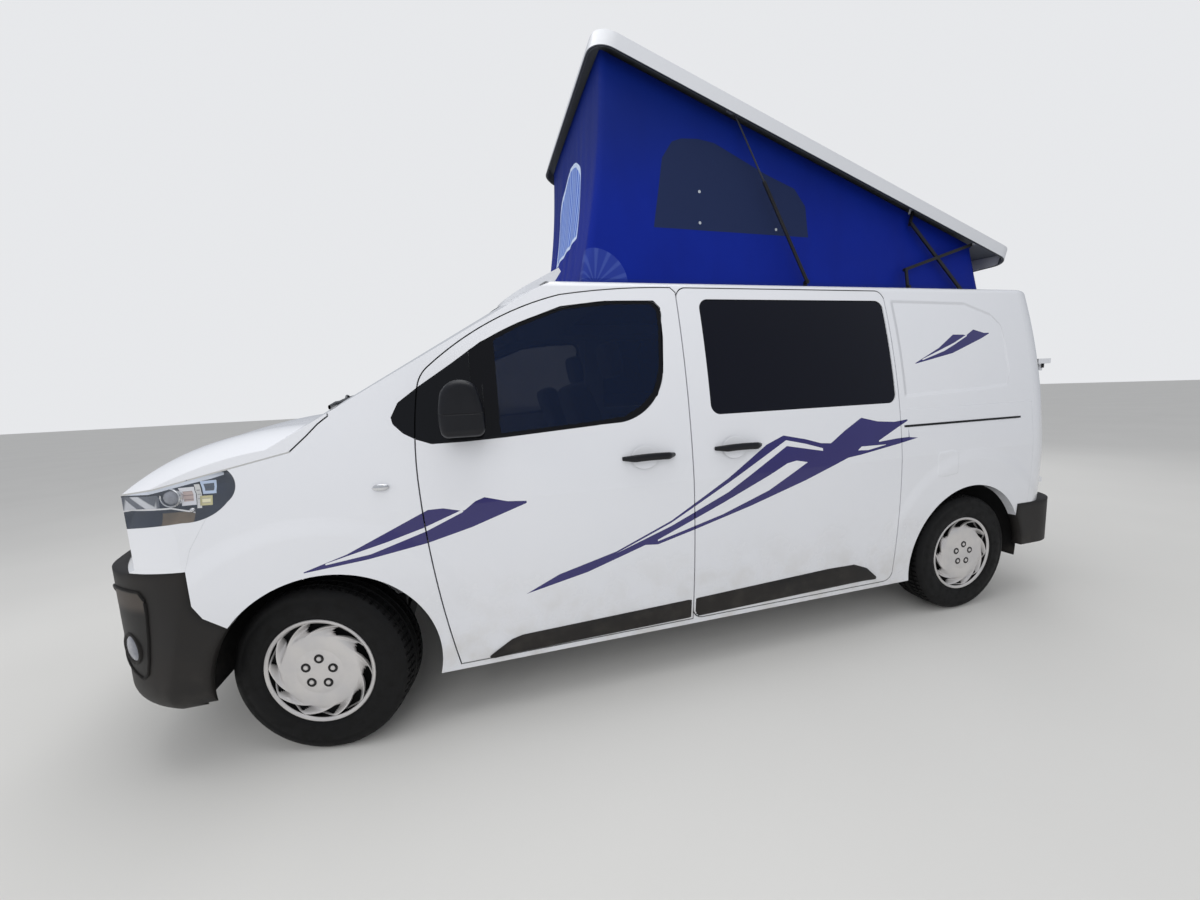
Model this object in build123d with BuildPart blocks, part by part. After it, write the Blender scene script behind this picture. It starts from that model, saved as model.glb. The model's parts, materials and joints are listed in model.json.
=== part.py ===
from build123d import *
import os
from math import atan2, cos, degrees, hypot, pi, radians, sin, sqrt, tan

# A panel van made into a camper, with its lifting roof up.
# +X is forward, +Y is the van's left, +Z is up, and z = 0 is the ground. Millimetres.

# Driving sizes of the whole van
length = 4959
wheelbase = 3275
front_overhang = 881
half_width = 960
roof_z = 1885
# X is measured from the doors' post datum while modelling: the nose is this far ahead of it
nose_x = 2479.5
rear_x = nose_x - length
front_axle_x = nose_x - front_overhang
rear_axle_x = front_axle_x - wheelbase

# Body form: a section across, a plan of the nose, two curved cuts for windscreen and bonnet
sill_z = 235
sill_tuck = 47
low_side = (8, 610)
belt_z = 950
high_side = (54, 1400)
gutter_y = 797
gutter_z = 1856
roof_corner = 38
tail_x = rear_x + 59.5
tail_curve = 5000
tail_corner = 230
nose_corner = 450
nose_corner_x = nose_x - 527.5
nose_blend = 4
shield_x = 1645
shield_z = 1355
shield_lean = radians(31)
shield_curve = 2800
shield_bend = 330
bonnet_axis_x = 1607
bonnet_axis_z = 101
bonnet_top_z = 1335
bonnet_crown = (700, 36)
bonnet_shoulder = [(862, 64), (985, 165)]
brow = [(nose_x, 810), (nose_x - 157.5, 968), (nose_x - 207.5, 1130), (nose_x - 329.5, 1400)]
brow_curve = 1600

# Walls and gaps
wall = 50
frame_depth = 72
frame_lip = 45
door_gap = 5.5
side_in = 690
seat_gap = 0.4
glass_depth = 5
glass_wall = 6

# Doors, as outlines on the side and on the tail
b_post_x = 56
door_foot_z = 264
door_head_z = 1829
door_corner = 22
door_step = 29
window_front_x = 1000
slide_rear_x = -1148
tail_door_y = 800
tail_door_foot_z = 605
tail_door_head_z = 1812
hinge_in = 4
hinge_relief = 10
door_hinge_x = 1205
door_hinge_y = half_width - hinge_in
tail_hinge_y = 815
tail_hinge_x = tail_x + 45
tail_hinge_radius = 11
tail_span = (tail_x - 180, tail_x + 320)
tail_lamp_x = (tail_x - 80, tail_x + 130)
bumper_front_x = tail_x + 380
bonnet_wall = 28
bonnet_hinge = (1485, 1352)
bonnet_arm_y = 848
bonnet_pin_radius = 4

# Wheels, arches and axles
tyre_radius = 338
tyre_width = 215
tyre_bead = 206
track = 1630
rim_radius = 216
rim_width = 186
stub_radius = 30
kingpin_y = 660
steer_rest = -13
arch_z = 340
front_arch_radius = 400
rear_arch_radius = 410
liner_wall = 5
liner_front_in = 425
liner_rear_in = 632
liner_radius = 446

# Cab and load floor
floor_z = 500
floor_wall = 40
firewall_x = 1310

# Lifting roof: its own plane leans with the lid, and its pins are placed in side view
lid_pitch = radians(18.36)
lid_tail = (-2275, 2042)
lid_length = 2787
lid_half_width = 695
lid_rim = 66
lid_crown = 108
lid_wall = 12
lid_corner = 110
tent_half_width = 614
tent_wall = 6
tent_foot_front = (450, 1890)
tent_front_middle = (352, 2400)
tent_head_front = (310, 2904)
tent_head_rear = (-2030, 2070)
tent_foot_rear = (-2120, 1890)
frame_top_z = 1890
frame_x = (-2134, 470)
frame_half = 622
hatch = (-2050, 330, 560)
arm_half_width = 9
pin_radius = 5
pin_clearance = 0.3
pin_a_base = (-1936, 1881)
pin_a_head = (-1526, 2248)
pin_b_on_lid = (297.2, 16.2)
pin_b_lid = (-1998, 2151)
pin_b_foot = (-1473, 1988)
pin_link_base = (-1490, 1890)
link_head_on_lid = (780.5, 29.4)
strut_foot = (-797, 1908)
strut_head_on_lid = (2044, 41)
strut_y = 660
strut_radius = 9
rod_radius = 4
tube_length = 560
tube_floor = 10
rod_foot = 350
deflector_half = 680

# Layers of the scissor, from the canvas outwards: name, inner y, outer y
layers = {
    "lid_bracket": (616, 626),
    "upper_link": (627.5, 635.5),
    "arm_a": (637, 647),
    "arm_b": (648, 658),
    "lower_link": (659.5, 667.5),
    "foot_bracket": (669, 678),
}


def on_circle(centre, radius, angle):
    return (centre[0] + radius * cos(angle), centre[1] + radius * sin(angle))


def body_form(inset, nose=True):
    """The van's whole outer form, or the same with its faces moved in, or with no nose cut."""
    w = half_width - inset
    foot = sill_z if inset == 0 else sill_z - 120
    top = roof_z - inset
    edge_y = gutter_y - 0.73 * inset
    edge_z = gutter_z - inset
    rear = tail_x + inset
    front = nose_x - inset
    with BuildPart() as form:
        # The section, the same from tail to nose
        with BuildSketch(Plane.YZ.offset(tail_x - 200)):
            with BuildLine():
                Line((-(w - sill_tuck), foot), (w - sill_tuck, foot))
                for s in (1, -1):
                    ThreePointArc((s * (w - sill_tuck), foot), (s * (w - low_side[0]), low_side[1]), (s * w, belt_z))
                    ThreePointArc((s * w, belt_z), (s * (w - high_side[0]), high_side[1]), (s * edge_y, edge_z))
                ThreePointArc((edge_y, edge_z), (0, top), (-edge_y, edge_z))
            make_face()
        extrude(amount=nose_x - tail_x + 400)
        # The plan: a gently bowed tail, and a nose of three tangent arcs
        corner = nose_corner - inset
        corner_y = half_width - nose_corner + nose_blend
        reach = nose_x - nose_corner
        bow_x = (reach**2 - nose_corner_x**2 - corner_y**2) / (2 * (reach - nose_corner_x))
        turn = atan2(corner_y, nose_corner_x - bow_x)
        meet = on_circle((bow_x, 0), front - bow_x, turn)
        middle = on_circle((nose_corner_x, corner_y), corner, (turn + pi / 2) / 2)
        drop = (w + 20) ** 2 / (2 * tail_curve)
        with BuildSketch(Plane.XY):
            with BuildLine():
                for s in (1, -1):
                    ThreePointArc((meet[0], s * meet[1]), (middle[0], s * middle[1]), (nose_corner_x, s * (corner_y + corner)))
                    Line((nose_corner_x, s * (corner_y + corner)), (nose_corner_x, s * (w + 20)))
                    Line((nose_corner_x, s * (w + 20)), (rear + drop, s * (w + 20)))
                ThreePointArc(meet, (front, 0), (meet[0], -meet[1]))
                ThreePointArc((rear + drop, w + 20), (rear, 0), (rear + drop, -w - 20))
            make_face()
        extrude(amount=roof_z + 100, mode=Mode.INTERSECT)
        # Rounded tail corners, then the edge round the roof
        uprights = form.edges().filter_by(
            lambda e: e.center().X < rear + 150 and abs(e.center().Y) > w - 130 and e.length > 200
            and e.center().Z < roof_z - 80
        )
        fillet(uprights, tail_corner - inset)
        roof_edges = form.edges().filter_by(
            lambda e: e.center().Z > edge_z - 30 and e.bounding_box().min.X < nose_x - 400
        )
        fillet(roof_edges, max(roof_corner - inset, 8))
        # What is ahead of the windscreen and above the bonnet at once is cut away
        if nose:
            add(space_ahead(inset), mode=Mode.SUBTRACT)
            add(space_over_brow(inset), mode=Mode.SUBTRACT)
    return form.part


def space_ahead(inset):
    """The space ahead of the bowed windscreen and above the crowned bonnet."""
    foot_x = shield_x - inset * sin(shield_lean)
    foot_z = shield_z - inset * cos(shield_lean)
    axis = Axis((shield_x - shield_curve, 0, 0), (0, 0, 1))
    top = roof_z - inset
    low = (foot_x + (foot_z - 1000) / tan(shield_lean), 1000)
    head = (foot_x - (top - 80 - foot_z) / tan(shield_lean), top - 80)
    with BuildPart() as ahead:
        with BuildSketch(Plane.XZ):
            with BuildLine():
                slope = Line(low, head)
                bend = TangentArc(head, (head[0] - shield_bend, top + 4), tangent=slope % 1)
                Polyline(bend @ 1, (head[0] - shield_bend - 60, top + 60), (3100, top + 60), (3100, 1000), low)
            make_face()
        revolve(axis=axis, revolution_arc=70)
    ridge = bonnet_top_z - inset
    (crown_y, crown_drop) = bonnet_crown
    with BuildPart() as above:
        with BuildSketch(Plane.YZ.offset(bonnet_axis_x)):
            with BuildLine():
                ThreePointArc((-crown_y, ridge - crown_drop), (0, ridge), (crown_y, ridge - crown_drop))
                for s in (1, -1):
                    (mid, end) = [(s * y, ridge - d) for (y, d) in bonnet_shoulder]
                    ThreePointArc((s * crown_y, ridge - crown_drop), mid, end)
                    Polyline(end, (s * 1100, end[1] - 150), (s * 1100, 2100))
                Line((-1100, 2100), (1100, 2100))
            make_face()
        revolve(axis=Axis((bonnet_axis_x, 0, bonnet_axis_z), (0, 1, 0)), revolution_arc=110)
    bonnet_turn = Axis((bonnet_axis_x, 0, bonnet_axis_z), (0, 1, 0))
    return ahead.part.rotate(axis, -35) & above.part.rotate(bonnet_turn, -30)


def space_over_brow(inset):
    """The space ahead of the leaning strip between bumper and bonnet."""
    axis = Axis((nose_x - brow_curve, 0, 0), (0, 0, 1))
    edge = [(x - inset, z) for (x, z) in brow]
    with BuildPart() as over:
        with BuildSketch(Plane.XZ):
            with BuildLine():
                Polyline(*edge, (2700, edge[-1][1]), (2700, edge[0][1]), edge[0])
            make_face()
        revolve(axis=axis, revolution_arc=70)
    return over.part.rotate(axis, -35)


outer = body_form(0)
inner = body_form(wall)
seat = body_form(wall + seat_gap)
door_room = body_form(wall, nose=False)
door_seat = body_form(wall + seat_gap, nose=False)
skin_room = body_form(bonnet_wall)
hinge_clear = body_form(wall + hinge_relief)
deep = body_form(frame_depth)
glass_out = body_form(glass_depth)
glass_in = body_form(glass_depth + glass_wall)


def side_cut(outline, side=1):
    """An outline drawn in side view, as a prism through one side of the van."""
    with BuildPart() as prism:
        with BuildSketch(Plane.XZ.offset(-side * side_in)):
            add(outline)
        extrude(amount=-side * (1100 - side_in))
    return prism.part


def through_cut(outline):
    """An outline drawn in side view, as a prism right across the van."""
    with BuildPart() as prism:
        with BuildSketch(Plane.XZ):
            add(outline)
        extrude(amount=1100, both=True)
    return prism.part


def plan_cut(outline, z0, z1):
    """An outline drawn in plan, as a prism from z0 to z1."""
    with BuildPart() as prism:
        with BuildSketch(Plane.XY.offset(z0)):
            add(outline)
        extrude(amount=z1 - z0)
    return prism.part


def end_cut(outline, x0, x1):
    """An outline drawn across the van, as a prism from x0 to x1."""
    with BuildPart() as prism:
        with BuildSketch(Plane.YZ.offset(x0)):
            add(outline)
        extrude(amount=x1 - x0)
    return prism.part


def front_door_outline(grow=0.0):
    rear = b_post_x + door_gap / 2
    with BuildSketch() as face:
        with BuildLine():
            Line((rear, door_head_z - door_corner), (rear, door_foot_z))
            Line((rear, door_foot_z), (1128, door_foot_z))
            ThreePointArc((1128, door_foot_z), (1186, 620), (1223, 1070))
            ThreePointArc((1223, 1070), (1220, 1240), (1199, 1422))
            ThreePointArc((1199, 1422), (1184, 1463), (1156, 1497))
            ThreePointArc((1156, 1497), (865, 1693), (603, 1790))
            ThreePointArc((603, 1790), (340, 1820), (rear + door_corner, door_head_z))
            Line((rear + door_corner, door_head_z), (rear, door_head_z - door_corner))
        make_face()
        if grow:
            offset(amount=grow, kind=Kind.INTERSECTION)
    return face.sketch


def front_window_outline(grow=0.0):
    with BuildSketch() as face:
        with BuildLine():
            Line((1165, 1201), (380, 1233))
            ThreePointArc((380, 1233), (240, 1300), (168, 1430))
            Line((168, 1430), (143, 1690))
            ThreePointArc((143, 1690), (153, 1745), (205, 1768))
            Line((205, 1768), (400, 1767))
            ThreePointArc((400, 1767), (790, 1672), (1110, 1478))
            ThreePointArc((1110, 1478), (1150, 1430), (1168, 1360))
            Line((1168, 1360), (1165, 1201))
        make_face()
        with Locations((window_front_x - 500, 1500)):
            Rectangle(1000, 1000, mode=Mode.INTERSECT)
        if grow:
            offset(amount=grow, kind=Kind.INTERSECTION)
    return face.sketch


def box_outline(x0, x1, z0, z1, corner, grow=0.0):
    with BuildSketch() as face:
        with Locations(((x0 + x1) / 2, (z0 + z1) / 2)):
            RectangleRounded(x1 - x0 + 2 * grow, z1 - z0 + 2 * grow, corner + grow)
    return face.sketch


def slide_door_outline(grow=0.0):
    return box_outline(slide_rear_x, b_post_x - door_gap / 2, door_foot_z, door_head_z, 50, grow)


def slide_window_outline(grow=0.0):
    return box_outline(-1132, -54, 1240, 1778, 48, grow)


def tail_opening_outline(grow=0.0):
    with BuildSketch() as face:
        with BuildLine():
            Line((-tail_door_y, tail_door_foot_z), (tail_door_y, tail_door_foot_z))
            for s in (1, -1):
                Line((s * tail_door_y, tail_door_foot_z), (s * tail_door_y, 1180))
                ThreePointArc((s * tail_door_y, 1180), (s * 772, 1500), (s * 715, tail_door_head_z - 30))
            ThreePointArc((-715, tail_door_head_z - 30), (0, tail_door_head_z), (715, tail_door_head_z - 30))
        make_face()
        if grow:
            offset(amount=grow, kind=Kind.INTERSECTION)
    return face.sketch


def tail_hinge_room():
    """The doorway at its full width between its lips, and its foot's corners: the doors' inner edges swing there."""
    with BuildSketch() as face:
        add(tail_opening_outline(door_gap))
        with Locations((0, (tail_door_foot_z + tail_door_head_z) / 2)):
            Rectangle(2000, tail_door_head_z - tail_door_foot_z - 2 * frame_lip, mode=Mode.INTERSECT)
        with Locations(*[(s * (tail_door_y - 20), tail_door_foot_z + frame_lip / 2) for s in (1, -1)]):
            Rectangle(40 + 2 * door_gap, frame_lip + 2 * door_gap)
    return face.sketch


def tail_door_outline():
    with BuildSketch() as face:
        add(tail_opening_outline())
        with Locations((500 + door_gap / 2, 1200)):
            Rectangle(1000, 1400, mode=Mode.INTERSECT)
    return face.sketch


def tail_window_outline(grow=0.0):
    return box_outline(95, 680, 1210, 1690, 60, grow)


def windscreen_outline(grow=0.0):
    with BuildSketch() as face:
        with BuildLine():
            ThreePointArc((-800, 1372), (0, 1352), (800, 1372))
            ThreePointArc((-660, 1778), (0, 1800), (660, 1778))
            for s in (1, -1):
                Line((s * 800, 1372), (s * 660, 1778))
        make_face()
        fillet(face.vertices(), 45)
        if grow:
            offset(amount=grow, kind=Kind.INTERSECTION)
    return face.sketch


def bonnet_zone(grow=0.0):
    """Above the shut line that runs over the wing, and ahead of the bowed windscreen foot."""
    with BuildSketch() as face:
        with BuildLine():
            Polyline(
                (1470, 1368), (1554, 1303), (1594, 1262), (1652, 1208), (1846, 1164), (2060, 1114), (2560, 1050),
                (2560, 1450), (1470, 1450), (1470, 1368),
            )
        make_face()
        if grow:
            offset(amount=grow, kind=Kind.INTERSECTION)
    with BuildSketch() as plan:
        with BuildLine():
            ThreePointArc((1495 - grow, -980), (1694 - grow, 0), (1495 - grow, 980))
            Polyline((1495 - grow, 980), (2700, 980), (2700, -980), (1495 - grow, -980))
        make_face()
    return through_cut(face.sketch) & plan_cut(plan.sketch, 900, 1500)


def headlamp_outline(grow=0.0):
    with BuildSketch() as face:
        with BuildLine():
            ThreePointArc((1846, 1161), (1823, 1112), (1850, 1050))
            ThreePointArc((1850, 1050), (1900, 1008), (1988, 990))
            Polyline((1988, 990), (2500, 960), (2500, 1059), (2060, 1111), (1846, 1161))
        make_face()
        if grow:
            offset(amount=grow, kind=Kind.INTERSECTION)
    return face.sketch


def nose_outline(z0, z1, grow=0.0):
    """Ahead of the wing's front edge, between two heights."""
    edge = [(1908, 585), (1978, 639), (2003, 690), (2002, 820), (1978, 894), (1915, 1004), (1915, 1250)]
    with BuildSketch() as face:
        with BuildLine():
            Polyline((1908, 200), *edge, (2600, 1250), (2600, 200), (1908, 200))
        make_face()
        if grow:
            offset(amount=grow, kind=Kind.INTERSECTION)
        with Locations(((2100), (z0 + z1) / 2)):
            Rectangle(1400, z1 - z0, mode=Mode.INTERSECT)
    return face.sketch


def across(x, z, radius, y0, y1):
    """A cylinder that lies across the van from y0 to y1."""
    with BuildPart() as rod:
        with BuildSketch(Plane.XZ.offset(-y0)):
            with Locations((x, z)):
                Circle(radius)
        extrude(amount=y0 - y1)
    return rod.part


def bar(start, end, y0, y1):
    """A flat bar with round ends, seen in side view from start to end."""
    span = (end[0] - start[0], end[1] - start[1])
    with BuildPart() as flat:
        with BuildSketch(Plane.XZ.offset(-y0)):
            with Locations(((start[0] + end[0]) / 2, (start[1] + end[1]) / 2)):
                SlotCenterToCenter(hypot(*span), 2 * arm_half_width, rotation=degrees(atan2(span[1], span[0])))
        extrude(amount=y0 - y1)
    return flat.part


def block(x0, x1, y0, y1, z0, z1):
    """A box between two corners, given in any order."""
    with BuildPart() as box:
        with Locations(((x0 + x1) / 2, (y0 + y1) / 2, (z0 + z1) / 2)):
            Box(abs(x1 - x0), abs(y1 - y0), abs(z1 - z0))
    return box.part


os.makedirs("parts", exist_ok=True)


def finish(builder, label):
    """Moves a piece from the datum to the middle of the van, and writes it."""
    placed = builder.part.moved(Location((length / 2 - nose_x, 0, 0)))
    placed.label = label
    export_step(placed, "parts/" + label + ".step")


# Body shell: one hollow frame with rebates that the doors close into
openings = [deep, bonnet_zone(door_gap), through_cut(nose_outline(100, 1200, seat_gap))]
openings.append(through_cut(headlamp_outline(seat_gap)))
for side in (1, -1):
    # A door opening is a rebate as deep as the door, and a smaller hole behind it
    rebate = side_cut(front_door_outline(door_gap), side)
    openings.append(rebate - door_seat)
    openings.append((rebate & block(1165, 1260, side * 700, side * 1000, 200, 1500)) - hinge_clear)
    openings.append(side_cut(front_door_outline(-frame_lip), side))
    openings.append(block(*tail_lamp_x, side * (tail_door_y + door_gap), side * 1000, 780, 1190))
openings.append(side_cut(slide_door_outline(door_gap)) - seat)
openings.append(side_cut(slide_door_outline(-frame_lip)))
openings.append(side_cut(slide_window_outline(seat_gap), -1))
openings.append(end_cut(tail_opening_outline(door_gap), *tail_span) - seat)
openings.append(end_cut(tail_opening_outline(-frame_lip), *tail_span))
openings.append(end_cut(tail_hinge_room(), *tail_span))
openings.append(end_cut(windscreen_outline(seat_gap), 700, 1800))
openings.append(block(tail_x - 80, bumper_front_x, -1000, 1000, 100, 600.4))
for side in (1, -1):
    openings.append(block(1471, 1600, side * (bonnet_arm_y - 8), side * (bonnet_arm_y + 8), 1285, 1500))
wells = []
for (x, radius, y_in) in (
    (front_axle_x, front_arch_radius, liner_front_in),
    (rear_axle_x, rear_arch_radius, liner_rear_in),
):
    openings.append(across(x, arch_z, radius, -1100, 1100))
    for side in (1, -1):
        wells.append(across(x, arch_z, liner_radius + seat_gap, side * (y_in - seat_gap), side * 905))
openings += wells
openings.append(block(hatch[0], hatch[1], -hatch[2], hatch[2], 1750, 2000))
tail_leaf_z = (645, 1372)
tail_leaf_height = 70
with BuildPart() as body_shell:
    add(outer)
    add(openings, mode=Mode.SUBTRACT)
    for side in (1, -1):
        add(across(*bonnet_hinge, bonnet_pin_radius, side * (bonnet_arm_y - 12), side * (bonnet_arm_y + 12)))
        for z in tail_leaf_z:
            add(block(tail_hinge_x, tail_hinge_x + 105, side * 828, side * 868, z + 41, z + tail_leaf_height) - inner)
            with Locations((tail_hinge_x, side * tail_hinge_y, z + (41 + tail_leaf_height) / 2)):
                Cylinder(tail_hinge_radius, tail_leaf_height - 41)
            add(block(tail_hinge_x - 5, tail_hinge_x + 5, side * tail_hinge_y, side * 835, z + 41, z + tail_leaf_height))
finish(body_shell, "body_shell")

# Wheel arch liners: half tunnels, closed on the inside
with BuildPart() as arch_liners:
    for (x, y_in) in ((front_axle_x, liner_front_in), (rear_axle_x, liner_rear_in)):
        for side in (1, -1):
            add(across(x, arch_z, liner_radius, side * y_in, side * 904))
            hollow = across(x, arch_z, liner_radius - liner_wall, side * (y_in + liner_wall), side * 1000)
            add(hollow, mode=Mode.SUBTRACT)
    add(block(-3000, 3000, -1000, 1000, -200, 262), mode=Mode.SUBTRACT)
    add(block(rear_axle_x - 60, rear_axle_x + 60, -700, 700, 200, 400), mode=Mode.SUBTRACT)
finish(arch_liners, "arch_liners")

# Floor pan: cab and load floor, firewall and two long rails
rail_y = 420
rail_width = 35
rail_foot_z = 410
rail_front_x = 2150
firewall_top_z = 1190
tow_bar_holes_x = (tail_x + 180, tail_x + 250)
tow_bar_holes_z = 455
tow_bar_hole_radius = 6.5
with BuildPart() as floor_pan:
    add(block(tail_x, firewall_x, -half_width, half_width, floor_z, floor_z + floor_wall))
    add(block(firewall_x - 30, firewall_x, -half_width, half_width, floor_z, firewall_top_z))
    add(deep, mode=Mode.INTERSECT)
    for side in (1, -1):
        add(block(tail_x + 120, rail_front_x, side * (rail_y - rail_width), side * rail_y, rail_foot_z, floor_z))
    for x in tow_bar_holes_x:
        for side in (1, -1):
            hole = across(x, tow_bar_holes_z, tow_bar_hole_radius, side * (rail_y - rail_width - 5), side * (rail_y + 5))
            add(hole, mode=Mode.SUBTRACT)
    add(wells, mode=Mode.SUBTRACT)
finish(floor_pan, "floor_pan")

# Bonnet, upper and lower bumper, headlamps and grille share the nose
with BuildPart() as bonnet:
    add(outer)
    add(skin_room, mode=Mode.SUBTRACT)
    add(bonnet_zone(), mode=Mode.INTERSECT)
    for side in (1, -1):
        arm = bar(bonnet_hinge, (1592, 1312), side * (bonnet_arm_y - 3), side * (bonnet_arm_y + 3))
        add(arm & outer)
        hole = across(*bonnet_hinge, bonnet_pin_radius + pin_clearance, side * 800, side * 900)
        add(hole, mode=Mode.SUBTRACT)
finish(bonnet, "bonnet")

waist_z = 818
intake = (-520, 520, 400, 600)
mouth = (-560, 560, 862, 1036)
nose_wall = outer - inner
chin_z = 262
chin_radius = 100
with BuildPart() as lower_bumper:
    add(outer & through_cut(nose_outline(chin_z, waist_z)))
    chin = lower_bumper.edges().filter_by(lambda e: e.center().Z < chin_z + 1 and e.center().X > nose_x - 550)
    fillet(chin, chin_radius)
    add(inner, mode=Mode.SUBTRACT)
    add(across(front_axle_x, arch_z, front_arch_radius, -1100, 1100), mode=Mode.SUBTRACT)
    add(wells, mode=Mode.SUBTRACT)
    add(block(nose_x - 280, nose_x + 120, *intake), mode=Mode.SUBTRACT)
finish(lower_bumper, "lower_bumper")

with BuildPart() as upper_bumper:
    add(nose_wall & through_cut(nose_outline(waist_z + seat_gap, 1200)))
    add([through_cut(headlamp_outline(seat_gap)), bonnet_zone(door_gap)], mode=Mode.SUBTRACT)
    add(block(nose_x - 280, nose_x + 120, *mouth), mode=Mode.SUBTRACT)
finish(upper_bumper, "upper_bumper")

lamp_in = 562
with BuildPart() as headlamps:
    add(outer - body_form(90))
    add(through_cut(headlamp_outline()), mode=Mode.INTERSECT)
    add(block(1500, 2600, -lamp_in, lamp_in, 700, 1400), mode=Mode.SUBTRACT)
    add(bonnet_zone(door_gap), mode=Mode.SUBTRACT)
finish(headlamps, "headlamps")

with BuildPart() as grille:
    face = body_form(6)
    back = body_form(24)
    for (y0, y1, z0, z1) in (mouth, intake):
        zone = block(nose_x - 330, nose_x + 120, y0 + seat_gap, y1 - seat_gap, z0 + seat_gap, z1 - seat_gap)
        add(zone & (face - inner))
        bars = 6
        pitch = (z1 - z0 - 12) / bars
        slots = [block(nose_x - 330, nose_x + 120, y0 + 12, y1 - 12, z0 + 12 + i * pitch, z0 + (i + 1) * pitch) for i in range(bars)]
        add([slot - back for slot in slots], mode=Mode.SUBTRACT)
finish(grille, "grille")

bumper_foot_z = 345
bumper_step = 25
with BuildPart() as rear_bumper:
    with BuildSketch(Plane.XY.offset(bumper_foot_z)) as plan:
        with Locations(((rear_x + bumper_front_x) / 2, 0)):
            Rectangle(bumper_front_x - rear_x, 1908)
        fillet(plan.vertices().group_by(Axis.X)[0], 260)
        offset(amount=-58, mode=Mode.SUBTRACT)
        with Locations((bumper_front_x, 0)):
            Rectangle(240, 1790, mode=Mode.SUBTRACT)
    extrude(amount=600 - bumper_foot_z)
    with BuildSketch(Plane.XY.offset(600 - bumper_step)) as step:
        with Locations(((rear_x + bumper_front_x) / 2, 0)):
            Rectangle(bumper_front_x - rear_x, 1908)
        fillet(step.vertices().group_by(Axis.X)[0], 260)
        with Locations((tail_x + 1650, 0)):
            Rectangle(3000, 2000, mode=Mode.SUBTRACT)
    extrude(amount=bumper_step)
    add(across(rear_axle_x, arch_z, rear_arch_radius, -1100, 1100), mode=Mode.SUBTRACT)
    add(wells, mode=Mode.SUBTRACT)
finish(rear_bumper, "rear_bumper")

with BuildPart() as tail_lamps:
    for side in (1, -1):
        add(nose_wall & block(*tail_lamp_x, side * (tail_door_y + door_gap + seat_gap), side * 1000, 780.4, 1189.6))
finish(tail_lamps, "tail_lamps")

# Doors, glass and mirrors
def pane(prism):
    return (glass_out - glass_in) & prism


mirror_y = (945, 1085)
for (side, hand) in ((1, "left"), (-1, "right")):
    with BuildPart() as front_door:
        add((outer - door_room) & side_cut(front_door_outline(), side))
        add(side_cut(front_window_outline(), side), mode=Mode.SUBTRACT)
        # Its inner edges are set in at the rear and the head, since they swing backwards at first
        add(skin_room & block(b_post_x, b_post_x + door_step, side * side_in, side * 1000, 200, 1900), mode=Mode.SUBTRACT)
        add(block(b_post_x, 1300, side * side_in, side * (side_in + door_step + 26), 1780, 1900), mode=Mode.SUBTRACT)
    finish(front_door, "front_door_" + hand)

    with BuildPart() as front_door_glass:
        add(pane(side_cut(front_window_outline(-seat_gap), side)))
    finish(front_door_glass, "front_door_glass_" + hand)

    with BuildPart() as door_mirror:
        with BuildSketch(Plane.XZ.offset(-side * mirror_y[0])) as shell_face:
            with BuildLine():
                Line((962, 1226), (1114, 1226))
                ThreePointArc((1114, 1226), (1124, 1300), (1116, 1368))
                ThreePointArc((1116, 1368), (1052, 1436), (982, 1410))
                ThreePointArc((982, 1410), (962, 1320), (962, 1226))
            make_face()
            fillet(shell_face.vertices(), 30)
        extrude(amount=side * (mirror_y[0] - mirror_y[1]))
        fillet(door_mirror.faces().sort_by(Axis.Y)[-1 if side == 1 else 0].edges(), 28)
        add(block(990, 1090, side * 880, side * (mirror_y[0] + 5), 1232, 1264))
        add(outer, mode=Mode.SUBTRACT)
    finish(door_mirror, "door_mirror_" + hand)

with BuildPart() as slide_door:
    add(nose_wall & side_cut(slide_door_outline()))
    add(side_cut(slide_window_outline()), mode=Mode.SUBTRACT)
finish(slide_door, "slide_door")

with BuildPart() as side_glass:
    for side in (1, -1):
        add(pane(side_cut(slide_window_outline(-seat_gap if side == 1 else 0), side)))
finish(side_glass, "side_glass")

with BuildPart() as windscreen:
    add(pane(end_cut(windscreen_outline(), 700, 1800)))
finish(windscreen, "windscreen")

tail_panel = (nose_wall & end_cut(tail_door_outline(), *tail_span)) - end_cut(tail_window_outline(), *tail_span)
for (side, hand) in ((1, "left"), (-1, "right")):
    with BuildPart() as tail_door:
        add(tail_panel if side == 1 else mirror(tail_panel, about=Plane.XZ))
        for z in tail_leaf_z:
            add(block(tail_hinge_x - 8, tail_x + 95, side * 765, side * 782, z, z + 40) - outer)
            add(block(tail_hinge_x - 8, tail_hinge_x + 8, side * 765, side * (tail_hinge_y - 8), z, z + 40))
            with Locations((tail_hinge_x, side * tail_hinge_y, z + 20)):
                Cylinder(tail_hinge_radius, 40)
    finish(tail_door, "tail_door_" + hand)

    glass = pane(end_cut(tail_window_outline(-seat_gap), *tail_span))
    with BuildPart() as tail_glass:
        add(glass if side == 1 else mirror(glass, about=Plane.XZ))
    finish(tail_glass, "tail_door_glass_" + hand)


# Wheels, on planes whose z axis is the axle, pointing outwards
def wheel_plane(x, side, steer=0.0):
    a = radians(steer)
    out = side * (track / 2 - (kingpin_y if x > 0 else 0))
    base = (x, side * kingpin_y, 0) if x > 0 else (x, 0, 0)
    origin = (base[0] - out * sin(a), base[1] + out * cos(a), tyre_radius)
    return Plane(origin=origin, x_dir=(side * cos(a), side * sin(a), 0), z_dir=(-side * sin(a), side * cos(a), 0))


def ring_plane(plane):
    """The half plane of a turned profile: its x is the radius, its y runs along the axle."""
    return Plane(origin=plane.origin, x_dir=plane.x_dir, z_dir=-plane.y_dir)


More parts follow.
